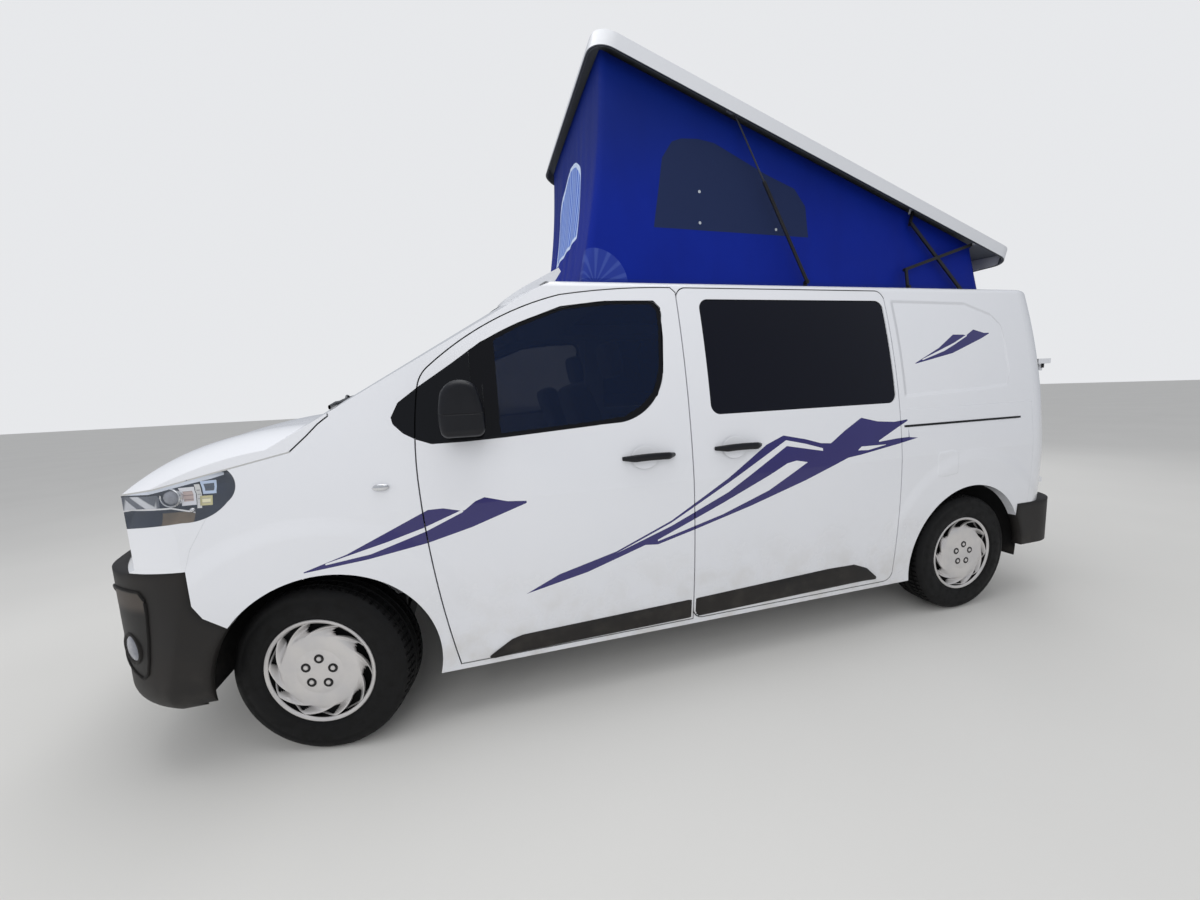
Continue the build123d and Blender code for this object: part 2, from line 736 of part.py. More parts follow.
wheel_places = (
    ("front_left", front_axle_x, 1, steer_rest),
    ("front_right", front_axle_x, -1, steer_rest),
    ("rear_left", rear_axle_x, 1, 0),
    ("rear_right", rear_axle_x, -1, 0),
)
tyre_shoulder = 26
for (place, x, side, steer) in wheel_places:
    plane = wheel_plane(x, side, steer)
    half = tyre_width / 2
    with BuildPart() as tyre:
        with BuildSketch(ring_plane(plane)):
            # From bead to bead over the tread: radius, and how far in from the full width
            edge = [(tyre_bead, 22), (rim_radius + 1, 16), (rim_radius + 8, 7), (260, 0), (tyre_radius - 26, 2), (tyre_radius - 8, 8)]
            edge.append((tyre_radius, tyre_shoulder))
            with BuildLine():
                right = [(r, half - inward) for (r, inward) in edge]
                left = [(r, -y) for (r, y) in reversed(right)]
                Polyline(*right, *left, close=True)
            make_face()
        revolve(axis=Axis(plane.origin, plane.z_dir))
    finish(tyre, "tyre_" + place)

    cover_z = 84
    with BuildPart() as wheel:
        with BuildSketch(ring_plane(plane)):
            with BuildLine():
                Polyline(
                    (stub_radius + 0.3, -30), (62, -30), (62, 52), (tyre_bead - 12, 70), (tyre_bead - 12, -half + 16),
                    (rim_radius, -half + 10), (rim_radius, -half + 15.2), (tyre_bead - 0.3, -half + 21.2),
                    (tyre_bead - 0.3, half - 21.2), (rim_radius, half - 15.2), (rim_radius, half - 10),
                    (198, half - 6), (150, cover_z + 8), (85, cover_z + 10), (0, cover_z + 14), (0, 66),
                    (stub_radius + 0.3, 66), (stub_radius + 0.3, -30),
                )
            make_face()
        revolve(axis=Axis(plane.origin, plane.z_dir))
    finish(wheel, "wheel_" + place)

# Steering knuckles with their stubs, and the beam that carries the rear wheels
knuckle_z = (240, 560)
for (place, x, side, steer) in wheel_places[:2]:
    plane = wheel_plane(x, side, steer)
    reach = track / 2 - kingpin_y
    with BuildPart() as knuckle:
        with Locations((x, side * kingpin_y, sum(knuckle_z) / 2)):
            Cylinder(26, knuckle_z[1] - knuckle_z[0])
        with BuildSketch(plane.offset(-reach)):
            Circle(46)
        extrude(amount=reach - 40)
        with BuildSketch(plane.offset(-reach)):
            Circle(stub_radius)
        extrude(amount=reach + 60)
    finish(knuckle, "knuckle_" + place.split("_")[1])

with BuildPart() as rear_axle:
    add(across(rear_axle_x, tyre_radius, stub_radius, -track / 2 - 60, track / 2 + 60))
    add(across(rear_axle_x, tyre_radius, 42, -track / 2 + 70, track / 2 - 70))
    for side in (1, -1):
        with BuildSketch(Plane.XZ.offset(-side * rail_y)):
            with BuildLine():
                Polyline(
                    (rear_axle_x - 60, 300), (rear_axle_x - 60, 376), (-1240, rail_foot_z - seat_gap),
                    (-1170, rail_foot_z - seat_gap), (-1170, 372), (rear_axle_x - 60, 300),
                )
            make_face()
        extrude(amount=side * rail_width)
finish(rear_axle, "rear_axle")

# Front subframe with the lower arms and struts
arm_z = (200, knuckle_z[0] - seat_gap)
front_strut_radius = 24
with BuildPart() as front_subframe:
    add(block(1400, 1800, -rail_y + rail_width, rail_y - rail_width, 200, 300))
    add(block(1450, 1750, -320, 320, 190, 310), mode=Mode.SUBTRACT)
    for side in (1, -1):
        add(block(1400, 1800, side * (rail_y - rail_width), side * rail_y, 200, rail_foot_z - seat_gap))
        with BuildSketch(Plane.XY.offset(arm_z[0])):
            with BuildLine():
                Polyline(
                    (1440, side * 400), (front_axle_x - 30, side * kingpin_y), (front_axle_x + 30, side * kingpin_y),
                    (1760, side * 400), (1440, side * 400),
                )
            make_face()
            with Locations((front_axle_x, side * kingpin_y)):
                Circle(32)
        extrude(amount=arm_z[1] - arm_z[0])
    strut_top_z = arch_z + sqrt((liner_radius - liner_wall) ** 2 - front_strut_radius**2) - seat_gap
    for side in (1, -1):
        with Locations((front_axle_x, side * kingpin_y, (knuckle_z[1] + seat_gap + strut_top_z) / 2)):
            Cylinder(front_strut_radius, strut_top_z - knuckle_z[1] - seat_gap)
finish(front_subframe, "front_subframe")

with BuildPart() as engine_block:
    add(block(1420, 1860, -370, 370, 300 + seat_gap, 900))
finish(engine_block, "engine_block")

with BuildPart() as fuel_tank:
    add(block(-600, 300, -370, 60, 290, floor_z - seat_gap))
    fillet(fuel_tank.edges().filter_by(Axis.X), 40)
finish(fuel_tank, "fuel_tank")

with BuildPart() as exhaust:
    with BuildSketch(Plane.YZ.offset(-1300)):
        with Locations((230, floor_z - 90 - seat_gap)):
            Circle(90)
    extrude(amount=560)
    with BuildSketch(Plane.YZ.offset(-2300)):
        with Locations((230, 440)):
            Circle(24)
    extrude(amount=3460)
finish(exhaust, "exhaust")

# Cab: dashboard, steering wheel and seats; camper furniture behind
dash_half = 850
with BuildPart() as dashboard:
    with BuildSketch(Plane.XZ):
        with BuildLine():
            Polyline(
                (1279.6, 700), (1020, 770), (975, 900), (965, 1110), (1010, 1190), (1150, 1226), (1540, 1262),
                (1540, 1236), (1330, 1200), (1310.4, firewall_top_z + seat_gap), (1279.6, firewall_top_z + seat_gap),
                (1279.6, 700),
            )
        make_face()
    extrude(amount=dash_half, both=True)
    add(body_form(frame_depth + 2), mode=Mode.INTERSECT)
finish(dashboard, "dashboard")

wheel_centre = (880, -430, 1135)
column_lean = radians(55)
column = Plane(origin=wheel_centre, x_dir=(0, 1, 0), z_dir=(-sin(column_lean), 0, cos(column_lean)))
with BuildPart() as steering_wheel:
    with BuildSketch(Plane(origin=column.origin, x_dir=column.x_dir, z_dir=-column.y_dir)):
        with Locations((178, 0)):
            RegularPolygon(14, 10)
    revolve(axis=Axis(column.origin, column.z_dir))
    with BuildSketch(column.offset(-30)):
        Circle(60)
    extrude(amount=36)
    with BuildSketch(column.offset(-12)):
        with PolarLocations(105, 3, start_angle=90):
            Rectangle(150, 26)
    extrude(amount=14)
    with BuildSketch(column.offset(-88)):
        Circle(22)
    extrude(amount=60)
finish(steering_wheel, "steering_wheel")

seat_y = 430
seat_half = 240
with BuildPart() as front_seats:
    for side in (1, -1):
        with BuildSketch(Plane.XZ.offset(-side * seat_y)):
            with BuildLine():
                Polyline(
                    (900, 760), (905, 870), (860, 895), (520, 855), (360, 1400), (290, 1440), (250, 1400),
                    (400, 780), (900, 760),
                )
            make_face()
        extrude(amount=seat_half, both=True)
        add(block(240, 310, side * seat_y - 130, side * seat_y + 130, 1430, 1640))
        add(block(450, 850, side * seat_y - 180, side * seat_y + 180, floor_z + floor_wall + seat_gap, 780))
finish(front_seats, "front_seats")

room_z = floor_z + floor_wall + seat_gap
bench_y = (-380, 600)
with BuildPart() as rear_bench:
    with BuildSketch(Plane.XZ.offset(-bench_y[1])):
        with BuildLine():
            Polyline(
                (-1250, room_z), (-1250, 960), (-1760, 940), (-1900, 1430), (-2010, 1430), (-1900, room_z),
                (-1250, room_z),
            )
        make_face()
    extrude(amount=bench_y[1] - bench_y[0])
finish(rear_bench, "rear_bench")

with BuildPart() as kitchen_unit:
    add(block(-2200, -100, -840, -400, room_z, 1180))
    add(body_form(frame_depth + 2), mode=Mode.INTERSECT)
    add(wells, mode=Mode.SUBTRACT)
finish(kitchen_unit, "kitchen_unit")


# Lifting roof, in its raised place
def lid_point(s, t):
    """A point in side view, s along the lid from its tail and t above its rim's foot."""
    (x, z) = lid_tail
    return (x + s * cos(lid_pitch) - t * sin(lid_pitch), z + s * sin(lid_pitch) + t * cos(lid_pitch))


lid_along = (cos(lid_pitch), 0, sin(lid_pitch))
lid_up = (-sin(lid_pitch), 0, cos(lid_pitch))
lid_origin = (lid_tail[0], 0, lid_tail[1])
lid_side = Plane(origin=lid_origin, x_dir=lid_along, z_dir=(0, -1, 0))
lid_plan = Plane(origin=lid_origin, x_dir=lid_along, z_dir=lid_up)
lid_end = Plane(origin=lid_origin, x_dir=(0, 1, 0), z_dir=lid_along)


def lid_form(inset, foot):
    """The crowned lid as a solid from the height foot up, with its faces moved in by inset."""
    y = lid_half_width - inset
    reach = y + 25
    low = lid_crown - (lid_crown - lid_rim) * (reach / y) ** 2 - inset
    with BuildPart() as form:
        with BuildSketch(lid_plan.offset(foot)):
            with Locations((lid_length / 2, 0)):
                RectangleRounded(lid_length - 2 * inset, 2 * y, lid_corner - inset)
        extrude(amount=lid_crown - foot + 20)
        with BuildSketch(lid_end.offset(-5)):
            with BuildLine():
                ThreePointArc((-reach, low), (0, lid_crown - inset), (reach, low))
                Polyline((reach, low), (reach, foot - 5), (-reach, foot - 5), (-reach, low))
            make_face()
        extrude(amount=lid_length + 10, mode=Mode.INTERSECT)
    return form.part


def lid_block(s0, s1, y0, y1, t0, t1):
    """A box on the lid, square to it."""
    with BuildPart() as box:
        with BuildSketch(lid_side.offset(-y0)):
            with Locations(((s0 + s1) / 2, (t0 + t1) / 2)):
                Rectangle(s1 - s0, t1 - t0)
        extrude(amount=y0 - y1)
    return box.part


hole_radius = pin_radius + pin_clearance
arm_span = (pin_a_head[0] - pin_a_base[0], pin_a_head[1] - pin_a_base[1])
other_span = (pin_b_foot[0] - pin_b_lid[0], pin_b_foot[1] - pin_b_lid[1])
arm_cross = arm_span[0] * other_span[1] - arm_span[1] * other_span[0]
start_gap = (pin_b_lid[0] - pin_a_base[0], pin_b_lid[1] - pin_a_base[1])
arm_share = (start_gap[0] * other_span[1] - start_gap[1] * other_span[0]) / arm_cross
pin_middle = (pin_a_base[0] + arm_share * arm_span[0], pin_a_base[1] + arm_share * arm_span[1])
pin_link_head = lid_point(*link_head_on_lid)

# The frame on the van's roof that the canvas stands on, with its pin brackets
with BuildPart() as roof_frame:
    add(block(frame_x[0], frame_x[1], -frame_half, frame_half, 1800, frame_top_z))
    add(block(hatch[0], hatch[1], -hatch[2], hatch[2], 1700, 2000), mode=Mode.SUBTRACT)
    for side in (1, -1):
        (y0, y1) = [side * y for y in layers["upper_link"]]
        (x, z) = pin_a_base
        add(block(x - 18, x + 18, side * 600, y1, 1830, z))
        add(bar((x, z), (x, z - 20), y0, y1))
        add(across(x, z, pin_radius, y0, side * (layers["arm_a"][1] + 0.5)))
        (y0, y1) = [side * y for y in layers["foot_bracket"]]
        (x, z) = pin_link_base
        add(block(x - 18, x + 18, side * 600, y1, 1830, 1870))
        add(bar((x, z), (x, z - 20), y0, y1))
        add(across(x, z, pin_radius, side * (layers["lower_link"][0] - 0.5), y1))
        (x, z) = strut_foot
        add(block(x - 18, x + 18, side * 600, side * 650, 1830, 1873))
        add(bar((x, z), (x, z - 40), side * 640, side * 650))
        add(across(x, z, pin_radius, side * 640, side * (strut_y + 7)))
    add(outer, mode=Mode.SUBTRACT)
finish(roof_frame, "roof_frame")

with BuildPart() as roof_lid:
    add(lid_form(0, 0))
    add(lid_form(lid_wall, -10), mode=Mode.SUBTRACT)
    for side in (1, -1):
        (s, t) = pin_b_on_lid
        y0 = side * (layers["arm_b"][1] + 1.5)
        add(lid_block(s - 15, s + 15, y0, side * (lid_half_width - 5), t - 14, t + 24))
        add(across(*pin_b_lid, pin_radius, side * (layers["arm_b"][0] - 0.5), y0))
        (y0, y1) = [side * y for y in layers["lid_bracket"]]
        (s, t) = link_head_on_lid
        add(lid_block(s - 12, s + 12, y0, y1, t - 10, lid_rim + 2))
        (s, t) = strut_head_on_lid
        add(lid_block(s - 15, s + 15, side * 638, side * 652, t - 14, lid_rim + 2))
finish(roof_lid, "roof_lid")

with BuildPart() as roof_canvas:
    with BuildSketch(Plane.XZ):
        with BuildLine():
            ThreePointArc(tent_foot_front, tent_front_middle, tent_head_front)
            Polyline(tent_head_front, (tent_head_front[0] - 20, 3100), (-2100, 2300), tent_head_rear)
            Polyline(tent_head_rear, tent_foot_rear, tent_foot_front)
        tent_face = make_face()
    extrude(amount=tent_half_width, both=True)
    with BuildSketch(Plane.XZ) as tent_room:
        add(tent_face)
        offset(amount=-tent_wall)
    extrude(amount=tent_half_width - tent_wall, both=True, mode=Mode.SUBTRACT)
    add(block(-2600, 1000, -580, 580, 1800, 1940), mode=Mode.SUBTRACT)
    add(lid_form(lid_wall + seat_gap, -1400), mode=Mode.INTERSECT)
finish(roof_canvas, "roof_canvas")

# Two arms cross on each side, and a short link hangs on the free end of each
with BuildPart() as scissor_arm_low:
    for side in (1, -1):
        (y0, y1) = [side * y for y in layers["arm_a"]]
        add(bar(pin_a_base, pin_a_head, y0, y1))
        add(across(*pin_a_base, hole_radius, y0, y1), mode=Mode.SUBTRACT)
        add(across(*pin_middle, pin_radius, y1, side * (layers["arm_b"][1] + 0.5)))
        add(across(*pin_a_head, pin_radius, side * (layers["upper_link"][0] - 0.5), y0))
finish(scissor_arm_low, "scissor_arm_low")

with BuildPart() as scissor_arm_high:
    for side in (1, -1):
        (y0, y1) = [side * y for y in layers["arm_b"]]
        add(bar(pin_b_lid, pin_b_foot, y0, y1))
        for pin in (pin_middle, pin_b_lid):
            add(across(*pin, hole_radius, y0, y1), mode=Mode.SUBTRACT)
finish(scissor_arm_high, "scissor_arm_high")

for (label, start, end, layer) in (
    ("lower_link", pin_link_base, pin_b_foot, "lower_link"),
    ("upper_link", pin_a_head, pin_link_head, "upper_link"),
):
    with BuildPart() as link:
        for side in (1, -1):
            (y0, y1) = [side * y for y in layers[layer]]
            add(bar(start, end, y0, y1))
            add(across(*start, hole_radius, y0, y1), mode=Mode.SUBTRACT)
    finish(link, label)

# Gas struts: a tube on the roof frame and a rod that slides in it
strut_head = lid_point(*strut_head_on_lid)
strut_run = (strut_head[0] - strut_foot[0], strut_head[1] - strut_foot[1])
strut_length = hypot(*strut_run)
strut_along = (strut_run[0] / strut_length, 0, strut_run[1] / strut_length)
with BuildPart() as strut_tubes:
    for side in (1, -1):
        foot = Plane(origin=(strut_foot[0], side * strut_y, strut_foot[1]), z_dir=strut_along)
        with BuildSketch(foot.offset(6)):
            Circle(strut_radius)
        extrude(amount=tube_length - 6)
        with BuildSketch(foot.offset(tube_floor)):
            Circle(rod_radius + pin_clearance)
        extrude(amount=tube_length - tube_floor, mode=Mode.SUBTRACT)
        add(across(*strut_foot, strut_radius + 2, side * (strut_y - 6), side * (strut_y + 6)))
        add(across(*strut_foot, hole_radius, side * (strut_y - 10), side * (strut_y + 10)), mode=Mode.SUBTRACT)
finish(strut_tubes, "strut_tubes")

with BuildPart() as strut_rods:
    for side in (1, -1):
        foot = Plane(origin=(strut_foot[0], side * strut_y, strut_foot[1]), z_dir=strut_along)
        with BuildSketch(foot.offset(rod_foot)):
            Circle(rod_radius)
        extrude(amount=strut_length - rod_foot)
        add(across(*strut_head, strut_radius, side * (strut_y - 6), side * (strut_y + 6)))
        add(across(*strut_head, hole_radius, side * (strut_y - 6), side * (strut_y + 6)), mode=Mode.SUBTRACT)
finish(strut_rods, "strut_rods")

# Wind deflector ahead of the lid
with BuildPart() as roof_deflector:
    with BuildSketch(Plane.XZ):
        with BuildLine():
            Polyline((850, 1770), (850, 1790), (745, 1850), (572, 1941), (562, 1925), (600, 1870), (850, 1770))
        make_face()
    extrude(amount=deflector_half, both=True)
    with BuildSketch(Plane.XY.offset(1700)):
        with Locations((850 - deflector_half, 0)):
            RectangleRounded(2 * deflector_half, 2 * deflector_half, 120)
    extrude(amount=300, mode=Mode.INTERSECT)
    add(outer, mode=Mode.SUBTRACT)
finish(roof_deflector, "roof_deflector")
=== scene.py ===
import json
from math import atan2, cos, hypot, pi, radians, sin, tan

import bmesh
import bpy
from mathutils import Matrix, Vector, noise
from mathutils.bvhtree import BVHTree


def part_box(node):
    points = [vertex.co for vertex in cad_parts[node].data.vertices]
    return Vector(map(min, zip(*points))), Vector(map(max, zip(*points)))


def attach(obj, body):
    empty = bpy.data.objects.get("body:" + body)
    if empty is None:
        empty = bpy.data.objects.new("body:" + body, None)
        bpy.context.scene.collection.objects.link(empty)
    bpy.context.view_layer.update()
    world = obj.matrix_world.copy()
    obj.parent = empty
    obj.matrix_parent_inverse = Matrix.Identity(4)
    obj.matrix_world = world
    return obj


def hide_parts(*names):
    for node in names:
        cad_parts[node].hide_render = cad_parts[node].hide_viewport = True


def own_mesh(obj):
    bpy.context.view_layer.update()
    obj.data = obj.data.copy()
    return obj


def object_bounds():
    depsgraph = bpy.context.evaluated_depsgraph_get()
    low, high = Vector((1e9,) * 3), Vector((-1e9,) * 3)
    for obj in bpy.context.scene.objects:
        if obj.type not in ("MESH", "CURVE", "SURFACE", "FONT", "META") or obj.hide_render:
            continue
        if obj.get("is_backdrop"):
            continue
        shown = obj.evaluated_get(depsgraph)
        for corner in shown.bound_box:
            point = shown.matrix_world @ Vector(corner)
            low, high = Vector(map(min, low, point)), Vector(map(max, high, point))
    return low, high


# %% [markdown]
# The frame comes first. It holds every piece of the van at its real size, in metres, with
# +X forward, +Y to the van's left and the ground at z = 0. Nothing here moves those pieces:
# this lesson gives them their paint, glass, cloth and trim.

# %% Load the frame
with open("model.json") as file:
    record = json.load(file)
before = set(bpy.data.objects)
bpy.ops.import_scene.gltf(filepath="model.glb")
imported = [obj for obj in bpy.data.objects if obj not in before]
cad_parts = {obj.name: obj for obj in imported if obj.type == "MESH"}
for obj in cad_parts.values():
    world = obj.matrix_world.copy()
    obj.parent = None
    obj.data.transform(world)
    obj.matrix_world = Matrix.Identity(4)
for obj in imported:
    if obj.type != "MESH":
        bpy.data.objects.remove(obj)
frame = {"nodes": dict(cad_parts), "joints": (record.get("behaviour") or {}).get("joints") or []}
NODES = frame["nodes"]
JOINTS = {joint["name"]: joint for joint in frame["joints"]}
cad_low, cad_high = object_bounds()
print("CAD box", [round(v, 3) for v in cad_low], [round(v, 3) for v in cad_high])

# %% [markdown]
# The camera stands beside the front door, at eye height, with a very wide lens. It was
# fitted to the photograph from the wheels and the edges of the doors, so that the van's lines
# run to the same vanishing points. A roll of a few degrees leans the picture.

# %% The camera
CAMERA_PLACE = Vector((0.998, 2.796, 1.365))
CAMERA_YAW, CAMERA_PITCH, CAMERA_ROLL = -0.268, -0.126, -0.048
FOCAL_PIXELS, PICTURE_WIDTH = 451.4, 1200
UP = Vector((0, 0, 1))
reach = cos(CAMERA_PITCH)
sight = Vector((sin(CAMERA_YAW) * reach, -cos(CAMERA_YAW) * reach, sin(CAMERA_PITCH)))
level = sight.cross(UP).normalized()
above = level.cross(sight)
right = cos(CAMERA_ROLL) * level + sin(CAMERA_ROLL) * above
upward = cos(CAMERA_ROLL) * above - sin(CAMERA_ROLL) * level
camera = bpy.data.objects.new("camera", bpy.data.cameras.new("camera"))
camera.data.lens = FOCAL_PIXELS / PICTURE_WIDTH * camera.data.sensor_width
camera.data.clip_start = 0.05
camera.matrix_world = Matrix.Translation(CAMERA_PLACE) @ Matrix((right, upward, -sight)).transposed().to_4x4()
bpy.context.scene.collection.objects.link(camera)
bpy.context.scene.camera = camera
print("lens", round(camera.data.lens, 2), "mm")

# %% [markdown]
# A finish is a material whose shader is one Principled BSDF. Its nodes could be laid out one
# by one, but a formula is easier to read. So a Value wraps an output and turns Python's operators
# into Math nodes, and every other node comes from one method, add. Colours are written as they look on
# a screen, 0 to 255.

# %% Formulas that become nodes
def math_method(operation):
    """A method that adds a Math node for a value and what its sign joins it to."""
    return lambda self, *others: self.math(operation, self, *others)


class Value:
    """One output of a node. An expression on it adds Math nodes to its finish."""

    def __init__(self, finish, output):
        self.finish, self.output = finish, output

    def math(self, operation, *values):
        return self.finish.add("ShaderNodeMath", {"operation": operation}, dict(enumerate(values)))

    def __rsub__(self, other):
        return self.math("SUBTRACT", other, self)

    __add__ = __radd__ = math_method("ADD")
    __sub__ = math_method("SUBTRACT")
    __mul__ = __rmul__ = math_method("MULTIPLY")
    __truediv__ = math_method("DIVIDE")
    __gt__ = math_method("GREATER_THAN")
    __lt__ = math_method("LESS_THAN")
    __abs__ = math_method("ABSOLUTE")
    power = math_method("POWER")
    sine = math_method("SINE")
    larger = math_method("MAXIMUM")
    smaller = math_method("MINIMUM")

    def ramp(self, start, end):
        """0 below start and 1 above end, smoothly. With end below start it falls instead."""
        sockets = {"Value": self, "From Min": start, "From Max": end}
        return self.finish.add("ShaderNodeMapRange", {"interpolation_type": "SMOOTHSTEP"}, sockets)


def linear(tone):
    """A screen colour as the values that a shader takes. Anything else stays as it is."""
    if not isinstance(tone, tuple) or len(tone) != 3:
        return tone
    return tuple(((c / 255 + 0.055) / 1.055) ** 2.4 if c > 10 else c / 255 / 12.92 for c in tone) + (1,)


def span(low, high):
    """The stretch of x that two lines of (x, z) points share."""
    return max(min(low)[0], min(high)[0]), min(max(low)[0], max(high)[0])


print("white on a screen is", linear((255, 255, 255)), "to a shader")

# %% A material built node by node
class Finish:
    """A material built node by node round a Principled BSDF."""

    def __init__(self, name, **sockets):
        self.material = bpy.data.materials.new(name)
        self.material.use_nodes = True
        self.tree = self.material.node_tree
        self.shader = self.tree.nodes["Principled BSDF"]
        self.set(**sockets)

    def join(self, socket, value):
        if isinstance(value, Value):
            self.tree.links.new(value.output, socket)
        else:
            socket.default_value = value

    def set(self, **sockets):
        """Sets sockets of the shader, whose names are written with _ for a space."""
        for name, value in sockets.items():
            self.join(self.shader.inputs[name.replace("_", " ")], value)

    def add(self, kind, settings=None, sockets=None, output=0):
        made = self.tree.nodes.new(kind)
        for name, value in (settings or {}).items():
            if name == "points":
                curve = made.mapping.curves[0]
                while len(curve.points) < len(value):
                    curve.points.new(0.5, 0.5)
                for point, place in zip(curve.points, value):
                    point.location = place
                    point.handle_type = "VECTOR"
                made.mapping.update()
            else:
                setattr(made, name, value)
        for name, value in (sockets or {}).items():
            self.join(made.inputs[name], value)
        return Value(self, made.outputs[output])

    def place(self):
        """The x, y and z of a point on the piece, in metres."""
        vector = self.add("ShaderNodeTexCoord", output="Object")
        return vector, *[self.add("ShaderNodeSeparateXYZ", sockets={0: vector}, output=i) for i in range(3)]

    def noise(self, vector, scale, detail=3.0, roughness=0.55):
        sockets = {"Vector": vector, "Scale": scale, "Detail": detail, "Roughness": roughness}
        return self.add("ShaderNodeTexNoise", sockets=sockets)

    def stretch(self, vector, x, y, z):
        return self.add("ShaderNodeVectorMath", {"operation": "MULTIPLY"}, {0: vector, 1: (x, y, z)})

    def mix(self, share, first, second):
        """The first colour where share is 0, the second where it is 1."""
        sockets = {0: share, 6: linear(first), 7: linear(second)}
        return self.add("ShaderNodeMix", {"data_type": "RGBA"}, sockets, output=2)

    def bump(self, height, depth, below=None):
        """Height from 0 to 1 pushes the surface out by up to depth metres, on top of a bump below."""
        sockets = {"Distance": depth, "Height": height}
        if below:
            sockets["Normal"] = below
        return self.add("ShaderNodeBump", sockets=sockets)

    def rounded(self, radius):
        """The normal of a surface whose edges are rounded off to this radius."""
        return self.add("ShaderNodeBevel", {"samples": 6}, {"Radius": radius})

    def distance(self, across, up):
        return (across * across + up * up).power(0.5)

    def line(self, x, points):
        """The height of a line through (x, z) points, read at x."""
        xs, zs = zip(*sorted(points))
        length, rise = xs[-1] - xs[0], max(max(zs) - min(zs), 0.001)
        stops = [((px - xs[0]) / length, (pz - min(zs)) / rise) for px, pz in zip(xs, zs)]
        share = self.add("ShaderNodeFloatCurve", {"points": stops}, {"Value": (x - xs[0]) / length})
        return share * rise + min(zs)

    def between(self, x, z, low, high):
        """1 between two lines, along the stretch of x that both of them span."""
        start, end = span(low, high)
        return (z > self.line(x, low)) * (z < self.line(x, high)) * (x > start) * (x < end)

    def hollow(self, x, z, low, high, soft):
        """The same area with an edge that fades over a width."""
        start, end = span(low, high)
        along = (x - start).ramp(0, soft) * (end - x).ramp(0, soft)
        return (z - self.line(x, low)).ramp(0, soft) * (self.line(x, high) - z).ramp(0, soft) * along


print("finishes can be built")

# %% [markdown]
# The floor is a plain pale plane, and the studio is lit as softly as a cloudy sky: one wide
# lamp overhead, two on the camera's side and one behind. The world is pale to the camera, weaker as
# a light and darker still in reflections, so that black trim and glass stay black.

# %% Floor, world and lamps
floor_finish = Finish("floor_finish", Roughness=0.85)
floor_vector = floor_finish.place()[0]
floor_tone = floor_finish.noise(floor_vector, 0.7, 2.0)
floor_finish.set(Base_Color=floor_finish.mix(floor_tone, (206, 205, 202), (214, 213, 210)))
floor_mesh = bmesh.new()
bmesh.ops.create_grid(floor_mesh, x_segments=1, y_segments=1, size=60)
floor = bpy.data.objects.new("floor", bpy.data.meshes.new("floor"))
floor_mesh.to_mesh(floor.data)
floor_mesh.free()
floor.data.materials.append(floor_finish.material)
bpy.context.scene.collection.objects.link(floor)
floor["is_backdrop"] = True

world = bpy.data.worlds.new("studio")
world.use_nodes = True
bpy.context.scene.world = world
world_nodes, world_links = world.node_tree.nodes, world.node_tree.links
rays = world_nodes.new("ShaderNodeLightPath")
seen = world_nodes.new("ShaderNodeMath")
seen.operation = "MAXIMUM"
world_links.new(rays.outputs["Is Camera Ray"], seen.inputs[0])
world_links.new(rays.outputs["Is Transmission Ray"], seen.inputs[1])
SKY_LIGHT, SKY_SEEN, SKY_MIRRORED = (0.66, 0.67, 0.69, 1), (0.8, 0.81, 0.83, 1), (0.4, 0.42, 0.46, 1)
last_tone = None
for share, tone in ((seen.outputs[0], SKY_SEEN), (rays.outputs["Is Glossy Ray"], SKY_MIRRORED)):
    layer = world_nodes.new("ShaderNodeMix")
    layer.data_type = "RGBA"
    layer.inputs[6].default_value = SKY_LIGHT
    layer.inputs[7].default_value = tone
    world_links.new(share, layer.inputs[0])
    if last_tone:
        world_links.new(last_tone, layer.inputs[6])
    last_tone = layer.outputs[2]
world_links.new(last_tone, world_nodes["Background"].inputs["Color"])


def facing(spot, outward, axis="Z"):
    """A place at a spot whose axis looks outward."""
    return Matrix.Translation(spot) @ Vector(outward).to_track_quat(axis, "Y").to_matrix().to_4x4()


LAMPS = (
    # name, place, target, size, power, mirrored
    ("overhead", (0.5, 0.6, 6.2), (0.0, 0.0, 1.0), 5.0, 150, True),
    ("camera_side", (2.6, 6.6, 4.2), (0.2, 0.8, 1.0), 4.5, 105, False),
    ("front_left", (7.0, 2.5, 3.0), (1.8, 0.3, 1.0), 3.0, 60, False),
    ("behind", (-6.5, -4.0, 4.5), (-0.5, 0.0, 1.2), 4.0, 80, False),
)
for name, place, target, size, power, mirrored in LAMPS:
    lamp = bpy.data.objects.new(name, bpy.data.lights.new(name, "AREA"))
    lamp.data.size, lamp.data.energy = size, power
    lamp.visible_glossy = mirrored
    lamp.matrix_world = facing(place, Vector(target) - Vector(place), "-Z")
    bpy.context.scene.collection.objects.link(lamp)
bpy.context.scene.view_settings.view_transform = "Standard"
print(len(LAMPS), "lamps")

# %% [markdown]
# The van is white gloss paint with navy foil graphics along both flanks. The graphics could
# be cut out as thin sheets, but the foil lies on the paint with no edge to see, so it is a mask in
# the paint itself. Each shape is the space between two lines drawn in side view, less the white
# slits in it. The doors and the shell share one finish, so that a shape runs on across their gaps.

